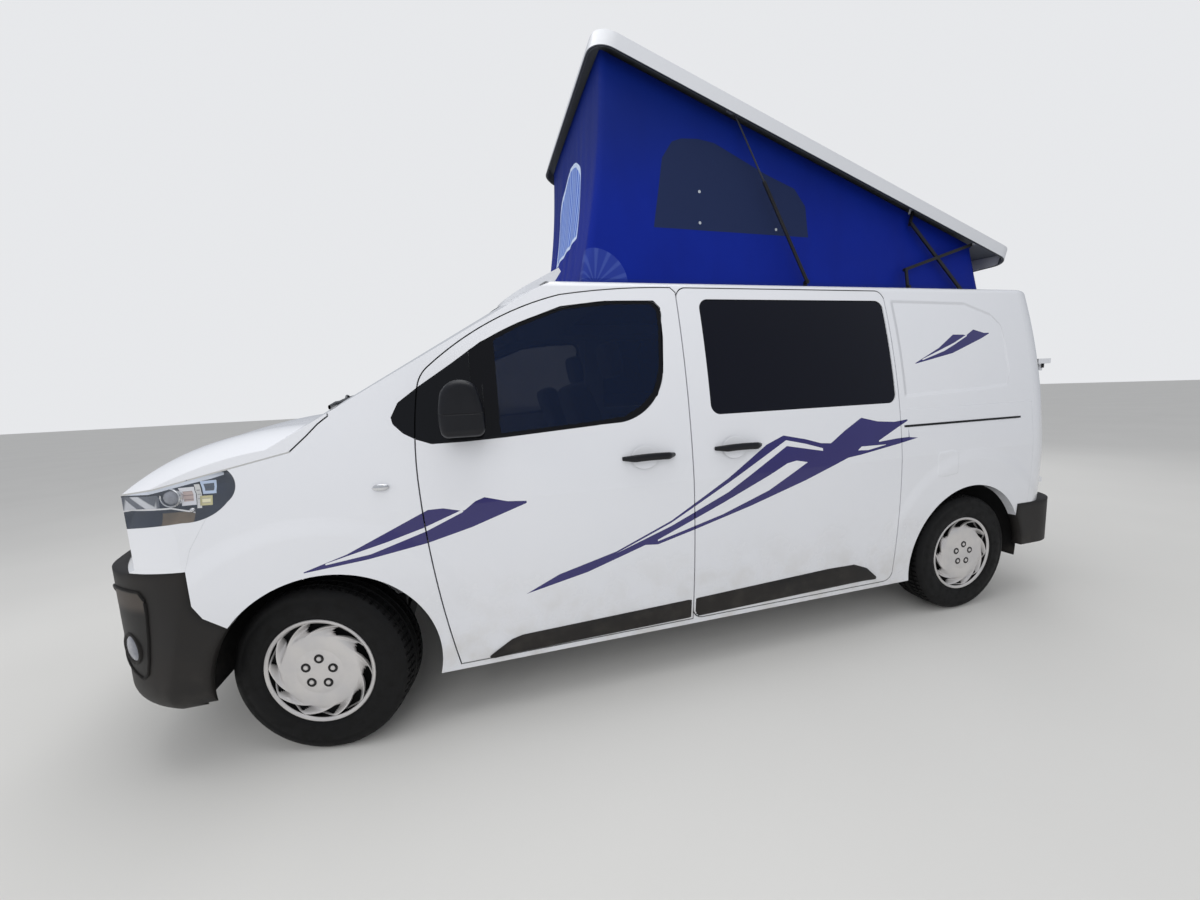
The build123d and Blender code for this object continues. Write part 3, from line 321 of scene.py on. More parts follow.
# %% Lines of the foil graphics, as (x, z) in side view
FOIL = (
    (  # the big swoosh over both doors: its foot and top, then those of each slit in it
        ([(0.844, 0.534), (0.572, 0.591), (0.301, 0.677), (0.241, 0.671), (0.063, 0.716),
          (-0.237, 0.796), (-0.551, 0.891), (-0.805, 0.98), (-0.886, 0.989), (-1.148, 1.029),
          (-1.261, 1.049)],
         [(0.844, 0.534), (0.699, 0.6), (0.44, 0.666), (0.173, 0.775), (-0.12, 0.942), (-0.333, 1.082),
          (-0.429, 1.119), (-0.554, 1.092), (-0.643, 1.066), (-0.703, 1.061), (-0.788, 1.116),
          (-0.897, 1.176), (-1.0, 1.151), (-1.108, 1.142), (-1.198, 1.15), (-1.201, 1.056),
          (-1.261, 1.049)]),
        ([(0.441, 0.657), (0.173, 0.75), (-0.119, 0.876), (-0.445, 1.067), (-0.549, 1.047),
          (-0.653, 1.027)],
         [(0.441, 0.657), (0.173, 0.765), (-0.12, 0.92), (-0.443, 1.095), (-0.551, 1.07),
          (-0.653, 1.04)]),
        ([(0.241, 0.686), (-0.089, 0.773), (-0.34, 0.862), (-0.561, 0.979)],
         [(0.241, 0.693), (-0.089, 0.827), (-0.34, 0.934), (-0.444, 0.983), (-0.496, 0.992),
          (-0.561, 0.979)]),
        ([(-1.002, 1.046), (-1.123, 1.055), (-1.199, 1.057)],
         [(-1.002, 1.052), (-1.129, 1.112), (-1.199, 1.143)]),
        ([(-0.868, 1.012), (-0.932, 1.009), (-1.044, 1.027)],
         [(-0.868, 1.014), (-0.89, 1.03), (-1.044, 1.029)]),
    ),
    (  # the wing ahead of it: its foot and top, then those of each slit in it
        ([(1.647, 0.757), (1.428, 0.778), (1.211, 0.813), (1.04, 0.856), (0.817, 0.93)],
         [(1.647, 0.761), (1.499, 0.808), (1.228, 0.932), (1.199, 0.945), (1.143, 0.945),
          (1.078, 0.928), (1.063, 0.928), (1.019, 0.96), (0.983, 0.972), (0.894, 0.946),
          (0.817, 0.939)]),
        ([(1.573, 0.777), (1.416, 0.797), (1.212, 0.861), (1.069, 0.922)],
         [(1.573, 0.783), (1.358, 0.836), (1.22, 0.876), (1.069, 0.932)]),
    ),
    (  # the small one behind: its foot and top, then those of each slit in it
        ([(-1.288, 1.438), (-1.56, 1.489), (-1.79, 1.567), (-1.855, 1.593)],
         [(-1.288, 1.442), (-1.466, 1.519), (-1.584, 1.591), (-1.66, 1.59), (-1.682, 1.586),
          (-1.741, 1.618), (-1.818, 1.598), (-1.855, 1.598)]),
        ([(-1.34, 1.456), (-1.502, 1.502), (-1.588, 1.538), (-1.685, 1.582)],
         [(-1.34, 1.462), (-1.486, 1.512), (-1.581, 1.545), (-1.685, 1.59)]),
    ),
)
print("foil is", len(FOIL), "shapes")

# %% Lines of the black window surround and the pressings
BLACK_FOOT = [
    (0.143, 1.737), (0.144, 1.633), (0.165, 1.443), (0.201, 1.344), (0.262, 1.285), (0.345, 1.241),
    (0.499, 1.227), (0.88, 1.204), (1.041, 1.198), (1.165, 1.198), (1.222, 1.22), (1.265, 1.246),
    (1.299, 1.283), (1.304, 1.309),
]
BLACK_TOP = [
    (0.143, 1.737), (0.172, 1.77), (0.361, 1.768), (0.504, 1.755), (0.605, 1.742), (0.791, 1.672),
    (0.951, 1.593), (1.078, 1.503), (1.199, 1.422), (1.276, 1.364), (1.304, 1.309),
]
RECESS_FOOT = [(-1.186, 1.261), (-1.703, 1.276), (-1.94, 1.292), (-1.975, 1.376)]
RECESS_TOP = [(-1.186, 1.786), (-1.713, 1.777), (-1.894, 1.715), (-1.96, 1.651), (-1.975, 1.5)]
FRONT_AXLE = Vector(JOINTS["front_left_wheel_spin"]["pos_m"])
REAR_AXLE = Vector(JOINTS["rear_left_wheel_spin"]["pos_m"])
print("wheelbase", round(FRONT_AXLE.x - REAR_AXLE.x, 3), "m")

# %% Masks of the foil and the inside, and heights of the pressings
def foil_mask(finish, x, y, z):
    mask = 0
    for outline, *slits in FOIL:
        shape = finish.between(x, z, *outline)
        for slit in slits:
            shape = shape * (1 - finish.between(x, z, *slit))
        mask = shape.larger(mask)
    return mask * (abs(y) > 0.72)


def inside_mask(finish, vector):
    """1 on faces that look towards the middle of the van, with its length counted less."""
    spot = finish.add("ShaderNodeVectorMath", {"operation": "SUBTRACT"}, {0: vector, 1: (0, 0, 1.0)})
    normal = finish.add("ShaderNodeTexCoord", output="Normal")
    sockets = {0: finish.stretch(spot, 0.15, 1, 1), 1: normal}
    return finish.add("ShaderNodeVectorMath", {"operation": "DOT_PRODUCT"}, sockets, output="Value") < -0.3


def pressings(finish, x, y, z):
    """Heights of the soft shapes pressed into the flanks: flared arches, a recess and a feature line."""
    flares = 0
    for axle in (FRONT_AXLE, REAR_AXLE):
        reach = finish.distance(x - axle.x, z - axle.z)
        flares = flares + reach.ramp(0.63, 0.55) * z.ramp(0.45, 0.7)
    recess = finish.hollow(x, z, RECESS_FOOT, RECESS_TOP, 0.022)
    below_line = z.ramp(1.204, 1.196) * (x < -1.15) * (x > -2.12)
    return (flares * 0.9 - recess * 0.6 + below_line * 0.35) * (abs(y) > 0.7)


print("masks can be drawn")

# %% White paint with the foil, the black window surround and the lining inside
PAINT_WHITE, FOIL_NAVY, LINING_GREY = (226, 227, 231), (38, 33, 104), (168, 169, 170)


def white_paint():
    finish = Finish("white_paint", Coat_Roughness=0.04, IOR=1.4)
    vector, x, y, z = finish.place()
    foil = foil_mask(finish, x, y, z)
    black = finish.between(x, z, BLACK_FOOT, BLACK_TOP) * (abs(y) > 0.8)
    inside = inside_mask(finish, vector)
    cloud = finish.noise(vector, 1.6, 2.0)
    dust = z.ramp(0.75, 0.2) * finish.noise(vector, 9.0, 5.0).ramp(0.35, 0.75)
    paint = finish.mix(cloud, PAINT_WHITE, (220, 222, 227))
    paint = finish.mix(dust * 0.35, paint, (176, 168, 152))
    foil_tone = finish.mix(finish.noise(vector, 3.0, 2.0), FOIL_NAVY, (30, 24, 90))
    lining = finish.mix(finish.noise(vector, 240.0, 2.0), LINING_GREY, (150, 151, 152))
    tone = finish.mix(foil, paint, foil_tone)
    tone = finish.mix(black, tone, (4, 5, 9))
    finish.set(Base_Color=finish.mix(inside, tone, lining))
    gloss = 0.24 + 0.3 * dust - 0.06 * foil - 0.1 * black
    finish.set(Roughness=gloss + (0.75 - gloss) * inside, Coat_Weight=(1 - inside) * (1 - black) * 0.8)
    shape = finish.bump(pressings(finish, x, y, z), 0.012)
    peel = finish.noise(vector, 420.0, 1.0)
    finish.set(Normal=finish.bump(peel, 0.00004, shape))
    return finish.material


WHITE_PAINT = white_paint()
WHITE_NODES = [
    "body_shell", "bonnet", "upper_bumper", "slide_door", "floor_pan",
    "front_door_left", "front_door_right", "tail_door_left", "tail_door_right",
]


def dress(material, *names):
    """Gives CAD nodes a finish and leaves their meshes alone."""
    for name in names:
        for place in NODES[name].material_slots:
            place.material = material


dress(WHITE_PAINT, *WHITE_NODES)
print("painted", len(WHITE_NODES), "panels")

# %% [markdown]
# Bumpers, mirrors, mouldings and wheel arches are moulded plastic, dark grey with a fine
# leathery grain. Real grain is far too small to model, so it is bump, with patches that have been
# bleached or scuffed. Gloss black is kept for small trim.

# %% Plastics, rubber and metals
SEAM_HALF = 0.0015


def grained_plastic(name, dark, light, roughness, grain=900.0, depth=0.0002, soft_edge=None, seam=None):
    finish = Finish(name, IOR=1.4)
    vector, x, y, z = finish.place()
    grain_height = finish.noise(vector, grain, 3.0)
    patches = finish.noise(vector, 4.0, 5.0).ramp(0.35, 0.7)
    low_dust = z.ramp(0.55, 0.25) * finish.noise(vector, 14.0, 5.0).ramp(0.4, 0.8)
    tone = finish.mix(patches, dark, light)
    finish.set(Base_Color=finish.mix(low_dust * 0.1, tone, (120, 114, 104)))
    below = finish.rounded(soft_edge) if soft_edge else None
    if seam:
        below = finish.bump(abs(z - seam).ramp(SEAM_HALF + 0.002, SEAM_HALF), -0.003)
    finish.set(Roughness=roughness + patches * 0.1, Normal=finish.bump(grain_height, depth, below))
    return finish.material


def metal(name, dark, light, roughness, metallic=1.0, scratch=60.0):
    finish = Finish(name, Metallic=metallic)
    vector = finish.place()[0]
    streaks = finish.noise(finish.stretch(vector, scratch, scratch, scratch * 6), 1.0, 4.0)
    patches = finish.noise(vector, 11.0, 4.0).ramp(0.35, 0.7)
    finish.set(Base_Color=finish.mix(patches, dark, light), Roughness=roughness + streaks * 0.15)
    finish.set(Normal=finish.bump(streaks, 0.00005))
    return finish.material


BUMPER_PLASTIC = grained_plastic("bumper_plastic", (30, 28, 27), (38, 35, 33), 0.55, soft_edge=0.045)
MIRROR_PLASTIC = grained_plastic(
    "mirror_plastic", (15, 16, 21), (22, 23, 28), 0.34, 700.0, 0.00008, seam=1.312
)
GREY_TRIM = grained_plastic("grey_trim", (58, 59, 62), (66, 67, 70), 0.6, 800.0, 0.00015)
GLOSS_BLACK = grained_plastic("gloss_black", (7, 7, 9), (11, 11, 13), 0.12, 300.0, 0.00001)
LINER_FELT = grained_plastic("liner_felt", (16, 16, 17), (24, 23, 23), 0.9, 500.0, 0.0004)
BLACK_STEEL = metal("black_steel", (18, 18, 21), (26, 26, 29), 0.42, 0.1)
CAST_GREY = metal("cast_grey", (92, 92, 94), (120, 118, 114), 0.55, 0.8, 25.0)
EXHAUST_STEEL = metal("exhaust_steel", (140, 134, 126), (112, 92, 74), 0.42)
BRIGHT_STEEL = metal("bright_steel", (225, 226, 228), (206, 207, 210), 0.14, 0.8)
ROD_STEEL = metal("rod_steel", (74, 76, 82), (60, 62, 68), 0.25, 0.7)
dress(BUMPER_PLASTIC, "lower_bumper", "rear_bumper", "grille", "fuel_tank")
dress(MIRROR_PLASTIC, "door_mirror_left", "door_mirror_right")
dress(GREY_TRIM, "dashboard", "steering_wheel")
dress(BLACK_STEEL, "front_subframe", "rear_axle", "roof_frame", "scissor_arm_low", "scissor_arm_high")
dress(BLACK_STEEL, "lower_link", "upper_link", "strut_tubes")
dress(CAST_GREY, "knuckle_left", "knuckle_right", "engine_block")
dress(EXHAUST_STEEL, "exhaust")
dress(ROD_STEEL, "strut_rods")

# %% [markdown]
# Window glass is a thin dark layer that shows the cab behind it. True refraction would need a
# closed solid and many bounces, and the exported model would lose it, so the panes are glossy and
# partly see-through. The front door's pane has a black printed border, which follows the same two
# lines as the surround in the paint, moved in.

# %% Glass
def glass(name, tint, cover, border=False):
    finish = Finish(name, Roughness=0.03, IOR=1.36)
    vector, x, y, z = finish.place()
    smear = finish.noise(vector, 5.0, 3.0)
    alpha = cover + 0.04 * smear
    tone = finish.mix(smear, tint, tuple(0.8 * c for c in linear(tint)[:3]) + (1,))
    if border:
        foot = [(px + 0.018, pz + 0.017) for px, pz in BLACK_FOOT if px < 1.02]
        top = [(px + (0.018 if px < 0.2 else -0.006), pz - 0.016) for px, pz in BLACK_TOP if px < 1.1]
        clear = finish.between(x, z, foot, top) * (x < 0.985)
        alpha = 1 - clear * (1 - alpha)
        tone = finish.mix(clear, (5, 5, 9), tone)
    finish.set(Base_Color=tone, Alpha=alpha)
    return finish.material


DOOR_GLASS = glass("door_glass", (8, 24, 52), 0.62, border=True)
PRIVACY_GLASS = glass("privacy_glass", (3, 5, 20), 0.97)
SCREEN_GLASS = glass("screen_glass", (60, 78, 84), 0.3)
dress(DOOR_GLASS, "front_door_glass_left", "front_door_glass_right")
dress(PRIVACY_GLASS, "side_glass", "tail_door_glass_left", "tail_door_glass_right")
dress(SCREEN_GLASS, "windscreen")
print("glazed")

# %% [markdown]
# New pieces start as a bmesh and end as an object at the origin that rides on one body of the
# frame. One helper does that ending for all of them: it merges doubles, turns the faces outwards,
# shades smoothly up to a given angle and hides the CAD pieces that the piece stands for.

# %% Finishing a piece
def keep(shape, name, body, material, replaces=(), sharp=35, outwards=True):
    """Turns a bmesh into a finished piece that rides on a body of the frame."""
    bmesh.ops.remove_doubles(shape, verts=shape.verts, dist=0.00002)
    if outwards:
        bmesh.ops.recalc_face_normals(shape, faces=shape.faces)
    mesh = bpy.data.meshes.new(name)
    shape.to_mesh(mesh)
    shape.free()
    mesh.polygons.foreach_set("use_smooth", [True] * len(mesh.polygons))
    mesh.set_sharp_from_angle(angle=radians(sharp))
    piece = bpy.data.objects.new(name, mesh)
    for one in material if isinstance(material, (list, tuple)) else [material]:
        mesh.materials.append(one)
    bpy.context.scene.collection.objects.link(piece)
    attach(piece, body)
    if replaces:
        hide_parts(*replaces)
    return piece


print("pieces can be kept")

# %% [markdown]
# Trim has to lie on the van's skin. A short table of the flank's section is near enough for
# small things, and rays cast at the CAD pieces find the skin itself for the rest. A raised pad is a
# grid laid on those places, with its rim let into the skin so that no gap shows.

# %% Places on the skin
FLANK_SECTION = (
    # z, y
    (0.235, 0.913), (0.42, 0.938), (0.61, 0.952), (0.8, 0.959), (0.95, 0.96),
    (1.1, 0.956), (1.25, 0.939), (1.4, 0.906), (1.63, 0.856), (1.856, 0.797),
)


def side_y(z):
    """How far out the van's flank is at a height."""
    for (z0, y0), (z1, y1) in zip(FLANK_SECTION, FLANK_SECTION[1:]):
        if z <= z1:
            return y0 + (y1 - y0) * (z - z0) / (z1 - z0)
    return FLANK_SECTION[-1][1]


def skin_of(*names):
    """CAD nodes as one surface that can be searched with rays."""
    verts, faces = [], []
    for name in names:
        start = len(verts)
        verts += [v.co.copy() for v in NODES[name].data.vertices]
        faces += [[start + i for i in p.vertices] for p in NODES[name].data.polygons]
    return BVHTree.FromPolygons(verts, faces)


FLANKS = skin_of(*WHITE_NODES, "lower_bumper")
TOPS = skin_of("windscreen", "bonnet", "body_shell")


def skin_y(x, z, side):
    """How far out the skin is at one place of a flank."""
    spot = FLANKS.ray_cast(Vector((x, side * 2, z)), Vector((0, -side, 0)))[0]
    return abs(spot.y) if spot and spot.y * side > 0.6 else side_y(z)


def on_skin(tree, spot, proud):
    """The nearest place on a surface, lifted off it."""
    (place, normal, _, _) = tree.find_nearest(spot)
    return place + proud * normal


def on_line(points, x):
    """The height of a line through (x, z) points, at x."""
    points = sorted(points)
    for (x0, z0), (x1, z1) in zip(points, points[1:]):
        if x <= x1:
            return z0 + (z1 - z0) * max(0.0, (x - x0) / (x1 - x0))
    return points[-1][1]


def flank_pad(foot, top, side, proud, columns, rows, edge, sunk=0.004):
    """A raised pad on the flank between two lines: a grid laid on the skin, its rim let into it."""
    shape = bmesh.new()
    start, end = span(foot, top)
    made = bmesh.ops.create_grid(shape, x_segments=columns, y_segments=rows, size=0.5)
    for vert in made["verts"]:
        (u, v) = (vert.co.x + 0.5, vert.co.y + 0.5)
        x = start + (end - start) * u
        (z0, z1) = (on_line(foot, x), on_line(top, x))
        z = z0 + (z1 - z0) * v
        rim = min(u / edge * 4, (1 - u) / edge * 4, v / edge, (1 - v) / edge, 1.0)
        out = proud * sin(rim * pi / 2) - sunk * (1 - rim) ** 2
        vert.co = Vector((x, side * (skin_y(x, z, side) + out), z))
    return shape


print("flank at 1 m is", round(side_y(1.0), 3), "m out")

# %% [markdown]
# Some forms come back often: an outline spun round an axis, copies set round a ring, bands
# between rings of points, and a box with rounded edges. Each has a helper that works on a bmesh, so
# that the form can still be moved or joined to others before it is kept.

# %% Forms that come back
def spun(shape, outline, steps):
    """Spins a chain of (radius, height) points round the z axis."""
    chain = [shape.verts.new((r, 0, h)) for r, h in outline]
    edges = [shape.edges.new(pair) for pair in zip(chain, chain[1:])]
    bmesh.ops.spin(
        shape, geom=chain + edges, cent=(0, 0, 0), axis=(0, 0, 1), dvec=(0, 0, 0),
        angle=2 * pi, steps=steps, use_merge=True,
    )


def turned(outline, steps, place):
    """A spun piece at its place."""
    shape = bmesh.new()
    spun(shape, outline, steps)
    bmesh.ops.transform(shape, matrix=place, verts=shape.verts)
    return shape


def ring_copies(shape, count):
    """Repeats all that a shape holds, evenly round the z axis."""
    one = [*shape.verts, *shape.edges, *shape.faces]
    for i in range(1, count):
        copy = bmesh.ops.duplicate(shape, geom=one)["geom"]
        verts = [part for part in copy if isinstance(part, bmesh.types.BMVert)]
        turn = Matrix.Rotation(2 * pi * i / count, 3, "Z")
        bmesh.ops.rotate(shape, verts=verts, cent=(0, 0, 0), matrix=turn)


def banded(rings):
    """Bands bridged between closed rings of points, and the edges of the last ring."""
    shape = bmesh.new()
    loops = []
    for points in rings:
        verts = [shape.verts.new(point) for point in points]
        loops.append([shape.edges.new(pair) for pair in zip(verts, verts[1:] + verts[:1])])
    for one, other in zip(loops, loops[1:]):
        bmesh.ops.bridge_loops(shape, edges=one + other)
    return shape, loops[-1]


def joined(shapes):
    """Several bmeshes as one."""
    whole = shapes[0]
    for other in shapes[1:]:
        mesh = bpy.data.meshes.new("part")
        other.to_mesh(mesh)
        other.free()
        whole.from_mesh(mesh)
        bpy.data.meshes.remove(mesh)
    return whole


def rounded_box(size, middle, radius, segments):
    shape = bmesh.new()
    bmesh.ops.create_cube(shape, size=1)
    bmesh.ops.scale(shape, verts=shape.verts, vec=size)
    bmesh.ops.bevel(
        shape, geom=list(shape.edges), offset=radius, offset_type="OFFSET",
        segments=segments, profile=0.5, affect="EDGES", material=-1,
    )
    bmesh.ops.translate(shape, verts=shape.verts, vec=middle)
    return shape


print("forms can be made")

# %% [markdown]
# A wheel is a rubber tyre on a black steel rim, with a silver plastic cover clipped over it.
# The tyre's outline is drawn from one bead to the middle of the tread, mirrored for the other
# half and spun round the axle. Shortening every other step of the spin leaves narrow bands, and the
# tread's faces in those bands are pushed in as cross grooves.

# %% Tyres
TREAD_STEPS = 132
GROOVE_DEPTH, GROOVE_FROM_RADIUS, GROOVE_FROM_MIDDLE = 0.005, 0.3335, 0.024
TYRE_OUTLINE = (
    # radius, place along the axle, from the outer bead to the middle of the tread
    (0.2045, 0.084), (0.212, 0.093), (0.222, 0.099), (0.23, 0.1035), (0.234, 0.103),
    (0.25, 0.1062), (0.268, 0.1072), (0.286, 0.106), (0.2985, 0.102), (0.301, 0.103),
    (0.315, 0.099), (0.326, 0.0935), (0.3325, 0.085), (0.3355, 0.076), (0.3366, 0.064),
    (0.33, 0.062), (0.33, 0.056), (0.3374, 0.054), (0.3378, 0.023), (0.3305, 0.021),
    (0.3305, 0.014), (0.338, 0.012),
)


def tyre_rubber():
    finish = Finish("tyre_rubber", IOR=1.35)
    vector = finish.place()[0]
    dust = finish.noise(vector, 26.0, 6.0).ramp(0.42, 0.72)
    fine = finish.noise(vector, 600.0, 2.0)
    finish.set(Base_Color=finish.mix(dust * 0.5, (10, 10, 11), (24, 23, 22)))
    finish.set(Roughness=0.62 + dust * 0.2, Normal=finish.bump(fine, 0.00012))
    return finish.material


TYRE_RUBBER = tyre_rubber()
SILVER_COVER = metal("silver_cover", (206, 203, 201), (198, 196, 196), 0.24, 0.4, 90.0)
LENS_GREY = metal("lens_grey", (150, 152, 160), (96, 98, 108), 0.1, 0.3, 20.0)
RIM_BLACK = metal("rim_black", (10, 10, 11), (16, 16, 17), 0.6, 0.0)
PLACES = (("front_left", 1), ("front_right", -1), ("rear_left", 1), ("rear_right", -1))


def wheel_matrix(place, side):
    """From a wheel's own axes, with z outwards and y up, to the van's."""
    joint = JOINTS[place + "_wheel_spin"]
    outward = side * Vector(joint["axis"]).normalized()
    across = UP.cross(outward).normalized()
    return Matrix.Translation(joint["pos_m"]) @ Matrix((across, UP, outward)).transposed().to_4x4()


def tyre():
    shape = bmesh.new()
    half = list(TYRE_OUTLINE)
    spun(shape, half + [(r, -h) for r, h in reversed(half)], TREAD_STEPS)
    pitch = 2 * pi / TREAD_STEPS
    for vert in shape.verts:
        step = round(atan2(vert.co.y, vert.co.x) / pitch)
        if step % 2:
            vert.co = Matrix.Rotation(-0.3 * pitch, 3, "Z") @ vert.co
    shape.faces.ensure_lookup_table()
    grooves = []
    for face in shape.faces:
        spot = face.calc_center_median()
        narrow = (atan2(spot.y, spot.x) / pitch) % 2 < 0.75
        if narrow and hypot(spot.x, spot.y) > GROOVE_FROM_RADIUS and abs(spot.z) > GROOVE_FROM_MIDDLE:
            grooves.append(face)
    made = bmesh.ops.extrude_discrete_faces(shape, faces=grooves)
    for face in made["faces"]:
        outward = face.calc_center_median()
        outward.z = 0
        bmesh.ops.translate(shape, verts=face.verts, vec=-GROOVE_DEPTH * outward.normalized())
    return shape


for place, side in PLACES:
    shape = tyre()
    bmesh.ops.transform(shape, matrix=wheel_matrix(place, side), verts=shape.verts)
    name, body = "dressed_tyre_" + place, place + "_wheel"
    made = keep(shape, name, body, TYRE_RUBBER, ["tyre_" + place], 40)
print("tyre faces", len(made.data.polygons))

# %% [markdown]
# The cover has a smooth dished disc with five bolt caps in dark rings, and ten slots that
# sweep round its edge like the blades of a turbine. One blade is a small grid bent into a sector of
# a ring, turned more the further out it lies. Its valley is pressed in, the faces of the hole are
# taken out, and nine turned copies complete the ring.

# %% Sizes and outlines of the wheel covers
BLADES, CAPS = 10, 5
COVER_RADIUS, DISC_RADIUS, RING_RADIUS = 0.2145, 0.146, 0.197
COVER_FACE = 0.098
SWEEP = -radians(42)
SCOOP_DEPTH = 0.034
BLADE_ROWS, BLADE_COLUMNS = 14, 20
COVER_DISC = (
    # radius, height, as in the other outlines of the wheel
    (0.0, 0.1015), (0.03, 0.1012), (0.07, 0.1002), (0.088, 0.0992), (0.091, 0.0984),
    (0.094, 0.099), (0.125, 0.0988), (DISC_RADIUS, COVER_FACE),
)
COVER_RING = (
    (RING_RADIUS, COVER_FACE - 0.004), (0.2005, 0.0965), (0.206, 0.1005), (0.211, 0.0995),
    (COVER_RADIUS, 0.0945), (COVER_RADIUS, 0.088),
)
RIM_BARREL = (
    (0.217, 0.096), (0.214, 0.0975), (0.206, 0.09), (0.203, 0.086), (0.202, 0.07),
    (0.188, 0.056), (0.178, 0.05), (0.15, 0.048), (0.12, 0.058), (0.085, 0.06),
    (0.033, 0.056), (0.033, 0.03), (0.09, 0.03), (0.17, 0.02), (0.18, 0.0),
    (0.19, -0.07), (0.205, -0.086), (0.214, -0.0975), (0.217, -0.096), (0.206, -0.07),
    (0.196, -0.03), (0.196, 0.05), (0.217, 0.096),
)
CAP_RING = (
    (0.0185, 0.0985), (0.0185, 0.1018), (0.0174, 0.1026), (0.0156, 0.1024), (0.012, 0.1012), (0.0095, 0.101),
)
CAP_HEAD = ((0.009, 0.1005), (0.009, 0.102), (0.008, 0.1036), (0.0055, 0.1046), (0.0, 0.1049))
CAP_CIRCLE, CAP_TURN = 0.054, radians(-4)
print("a blade fills", round(360 / BLADES), "degrees of the ring")

# %% Wheel covers
def smooth(share):
    share = max(0.0, min(1.0, share))
    return share * share * (3 - 2 * share)


def blade_point(u, v):
    """A point of one blade: u runs round the ring, v from the disc to the outer ring."""
    radius = DISC_RADIUS + (RING_RADIUS - DISC_RADIUS) * v
    angle = (2 * pi / BLADES) * u + SWEEP * v
    valley = smooth(u / 0.14) * smooth((1 - u) / 0.62)
    across = smooth(v / 0.65) * (1 if v < 0.86 else 1 - 0.25 * smooth((v - 0.86) / 0.14))
    height = COVER_FACE - 0.004 * v - SCOOP_DEPTH * valley * across
    return Vector((radius * cos(angle), radius * sin(angle), height))


def cover():
    shape = bmesh.new()
    made = bmesh.ops.create_grid(shape, x_segments=BLADE_COLUMNS, y_segments=BLADE_ROWS, size=0.5)
    shape.faces.ensure_lookup_table()
    hole = []
    for face in shape.faces:
        spot = face.calc_center_median()
        (u, v) = (spot.x + 0.5, spot.y + 0.5)
        if 0.04 < u < 0.8 - 0.62 * (1 - v) and 0.28 + 0.18 * u < v < 0.93:
            hole.append(face)
    for vert in made["verts"]:
        vert.co = blade_point(vert.co.x + 0.5, vert.co.y + 0.5)
    bmesh.ops.delete(shape, geom=hole, context="FACES")
    ring_copies(shape, BLADES)
    for outline in (COVER_DISC, COVER_RING):
        spun(shape, outline, BLADES * BLADE_COLUMNS)
    bmesh.ops.remove_doubles(shape, verts=shape.verts, dist=0.0004)
    bmesh.ops.recalc_face_normals(shape, faces=shape.faces)
    top = [f for f in shape.faces if f.normal.z > 0]
    if len(top) < len(shape.faces) / 2:
        bmesh.ops.reverse_faces(shape, faces=shape.faces)
    return shape


def bolt_caps():
    shape = bmesh.new()
    spun(shape, CAP_RING, 32)
    rings = len(shape.faces)
    spun(shape, CAP_HEAD, 32)
    for number, face in enumerate(shape.faces):
        face.material_index = 0 if number < rings else 1
    bmesh.ops.translate(shape, verts=shape.verts, vec=(0, CAP_CIRCLE, 0))
    ring_copies(shape, CAPS)
    bmesh.ops.rotate(shape, verts=shape.verts, cent=(0, 0, 0), matrix=Matrix.Rotation(CAP_TURN, 3, "Z"))
    return shape


for place, side in PLACES:
    rim = turned(RIM_BARREL, 72, Matrix.Identity(4))
    for name, shape, material, slot, replaced in (
        ("wheel_cover_", cover(), SILVER_COVER, "silver_cover", []),
        ("steel_rim_", rim, RIM_BLACK, "black_steel", ["wheel_" + place]),
        ("bolt_caps_", bolt_caps(), [GLOSS_BLACK, SILVER_COVER], "silver_cover", []),
    ):
        is_cover = name == "wheel_cover_"
        bmesh.ops.transform(shape, matrix=wheel_matrix(place, side), verts=shape.verts)
        made = keep(shape, name + place, place + "_wheel", material, replaced, 32, not is_cover)
        if is_cover:
            wall = made.modifiers.new("wall", "SOLIDIFY")
            wall.thickness, wall.offset = 0.0025, -1
print("covers on", len(PLACES), "wheels")

# %% [markdown]
# The raised roof is a tent: royal blue cloth on four sides, sewn to the roof's frame below
# and to the lid above. It could be hung by simulation, but it is held taut on every edge, so it is
# laid out as one sheet round the opening, and a formula shapes it. The front wall leans in and
# bellies, the long sides sink a little between their edges, and folds run down where the cloth is
# slack.

# %% Shape of the canvas
TENT_FOOT, TENT_HALF = 1.884, 0.614
LID_TAIL, LID_PITCH = Vector((-2.275, 0, 2.042)), radians(18.36)
FOOT_X, HEAD_X = (-2.12, 0.45), (-2.03, 0.31)
CANVAS_COLUMNS, CANVAS_ROWS = 380, 64
LEAN, SINK, HEAD_LET_IN = 0.03, 0.014, 0.03


def lid_foot(x):
    """The height of the lid's open edge above a place along the van."""
    return LID_TAIL.z + (x - LID_TAIL.x) * tan(LID_PITCH)


def tent_plan(count):
    """Places round the tent's plan as (side view share 0 rear to 1 front, y, wall), evenly spread."""
    (length, width) = (FOOT_X[1] - FOOT_X[0], 2 * TENT_HALF)
    total = 2 * (length + width)
    plan = []
    for i in range(count):
        s = total * i / count
        if s < length:
            plan.append((s / length, TENT_HALF, "side"))
        elif s < length + width:
            plan.append((1.0, TENT_HALF - (s - length), "front"))
        elif s < 2 * length + width:
            plan.append((1 - (s - length - width) / length, -TENT_HALF, "side"))
        else:
            plan.append((0.0, -TENT_HALF + (s - 2 * length - width), "rear"))
    return plan


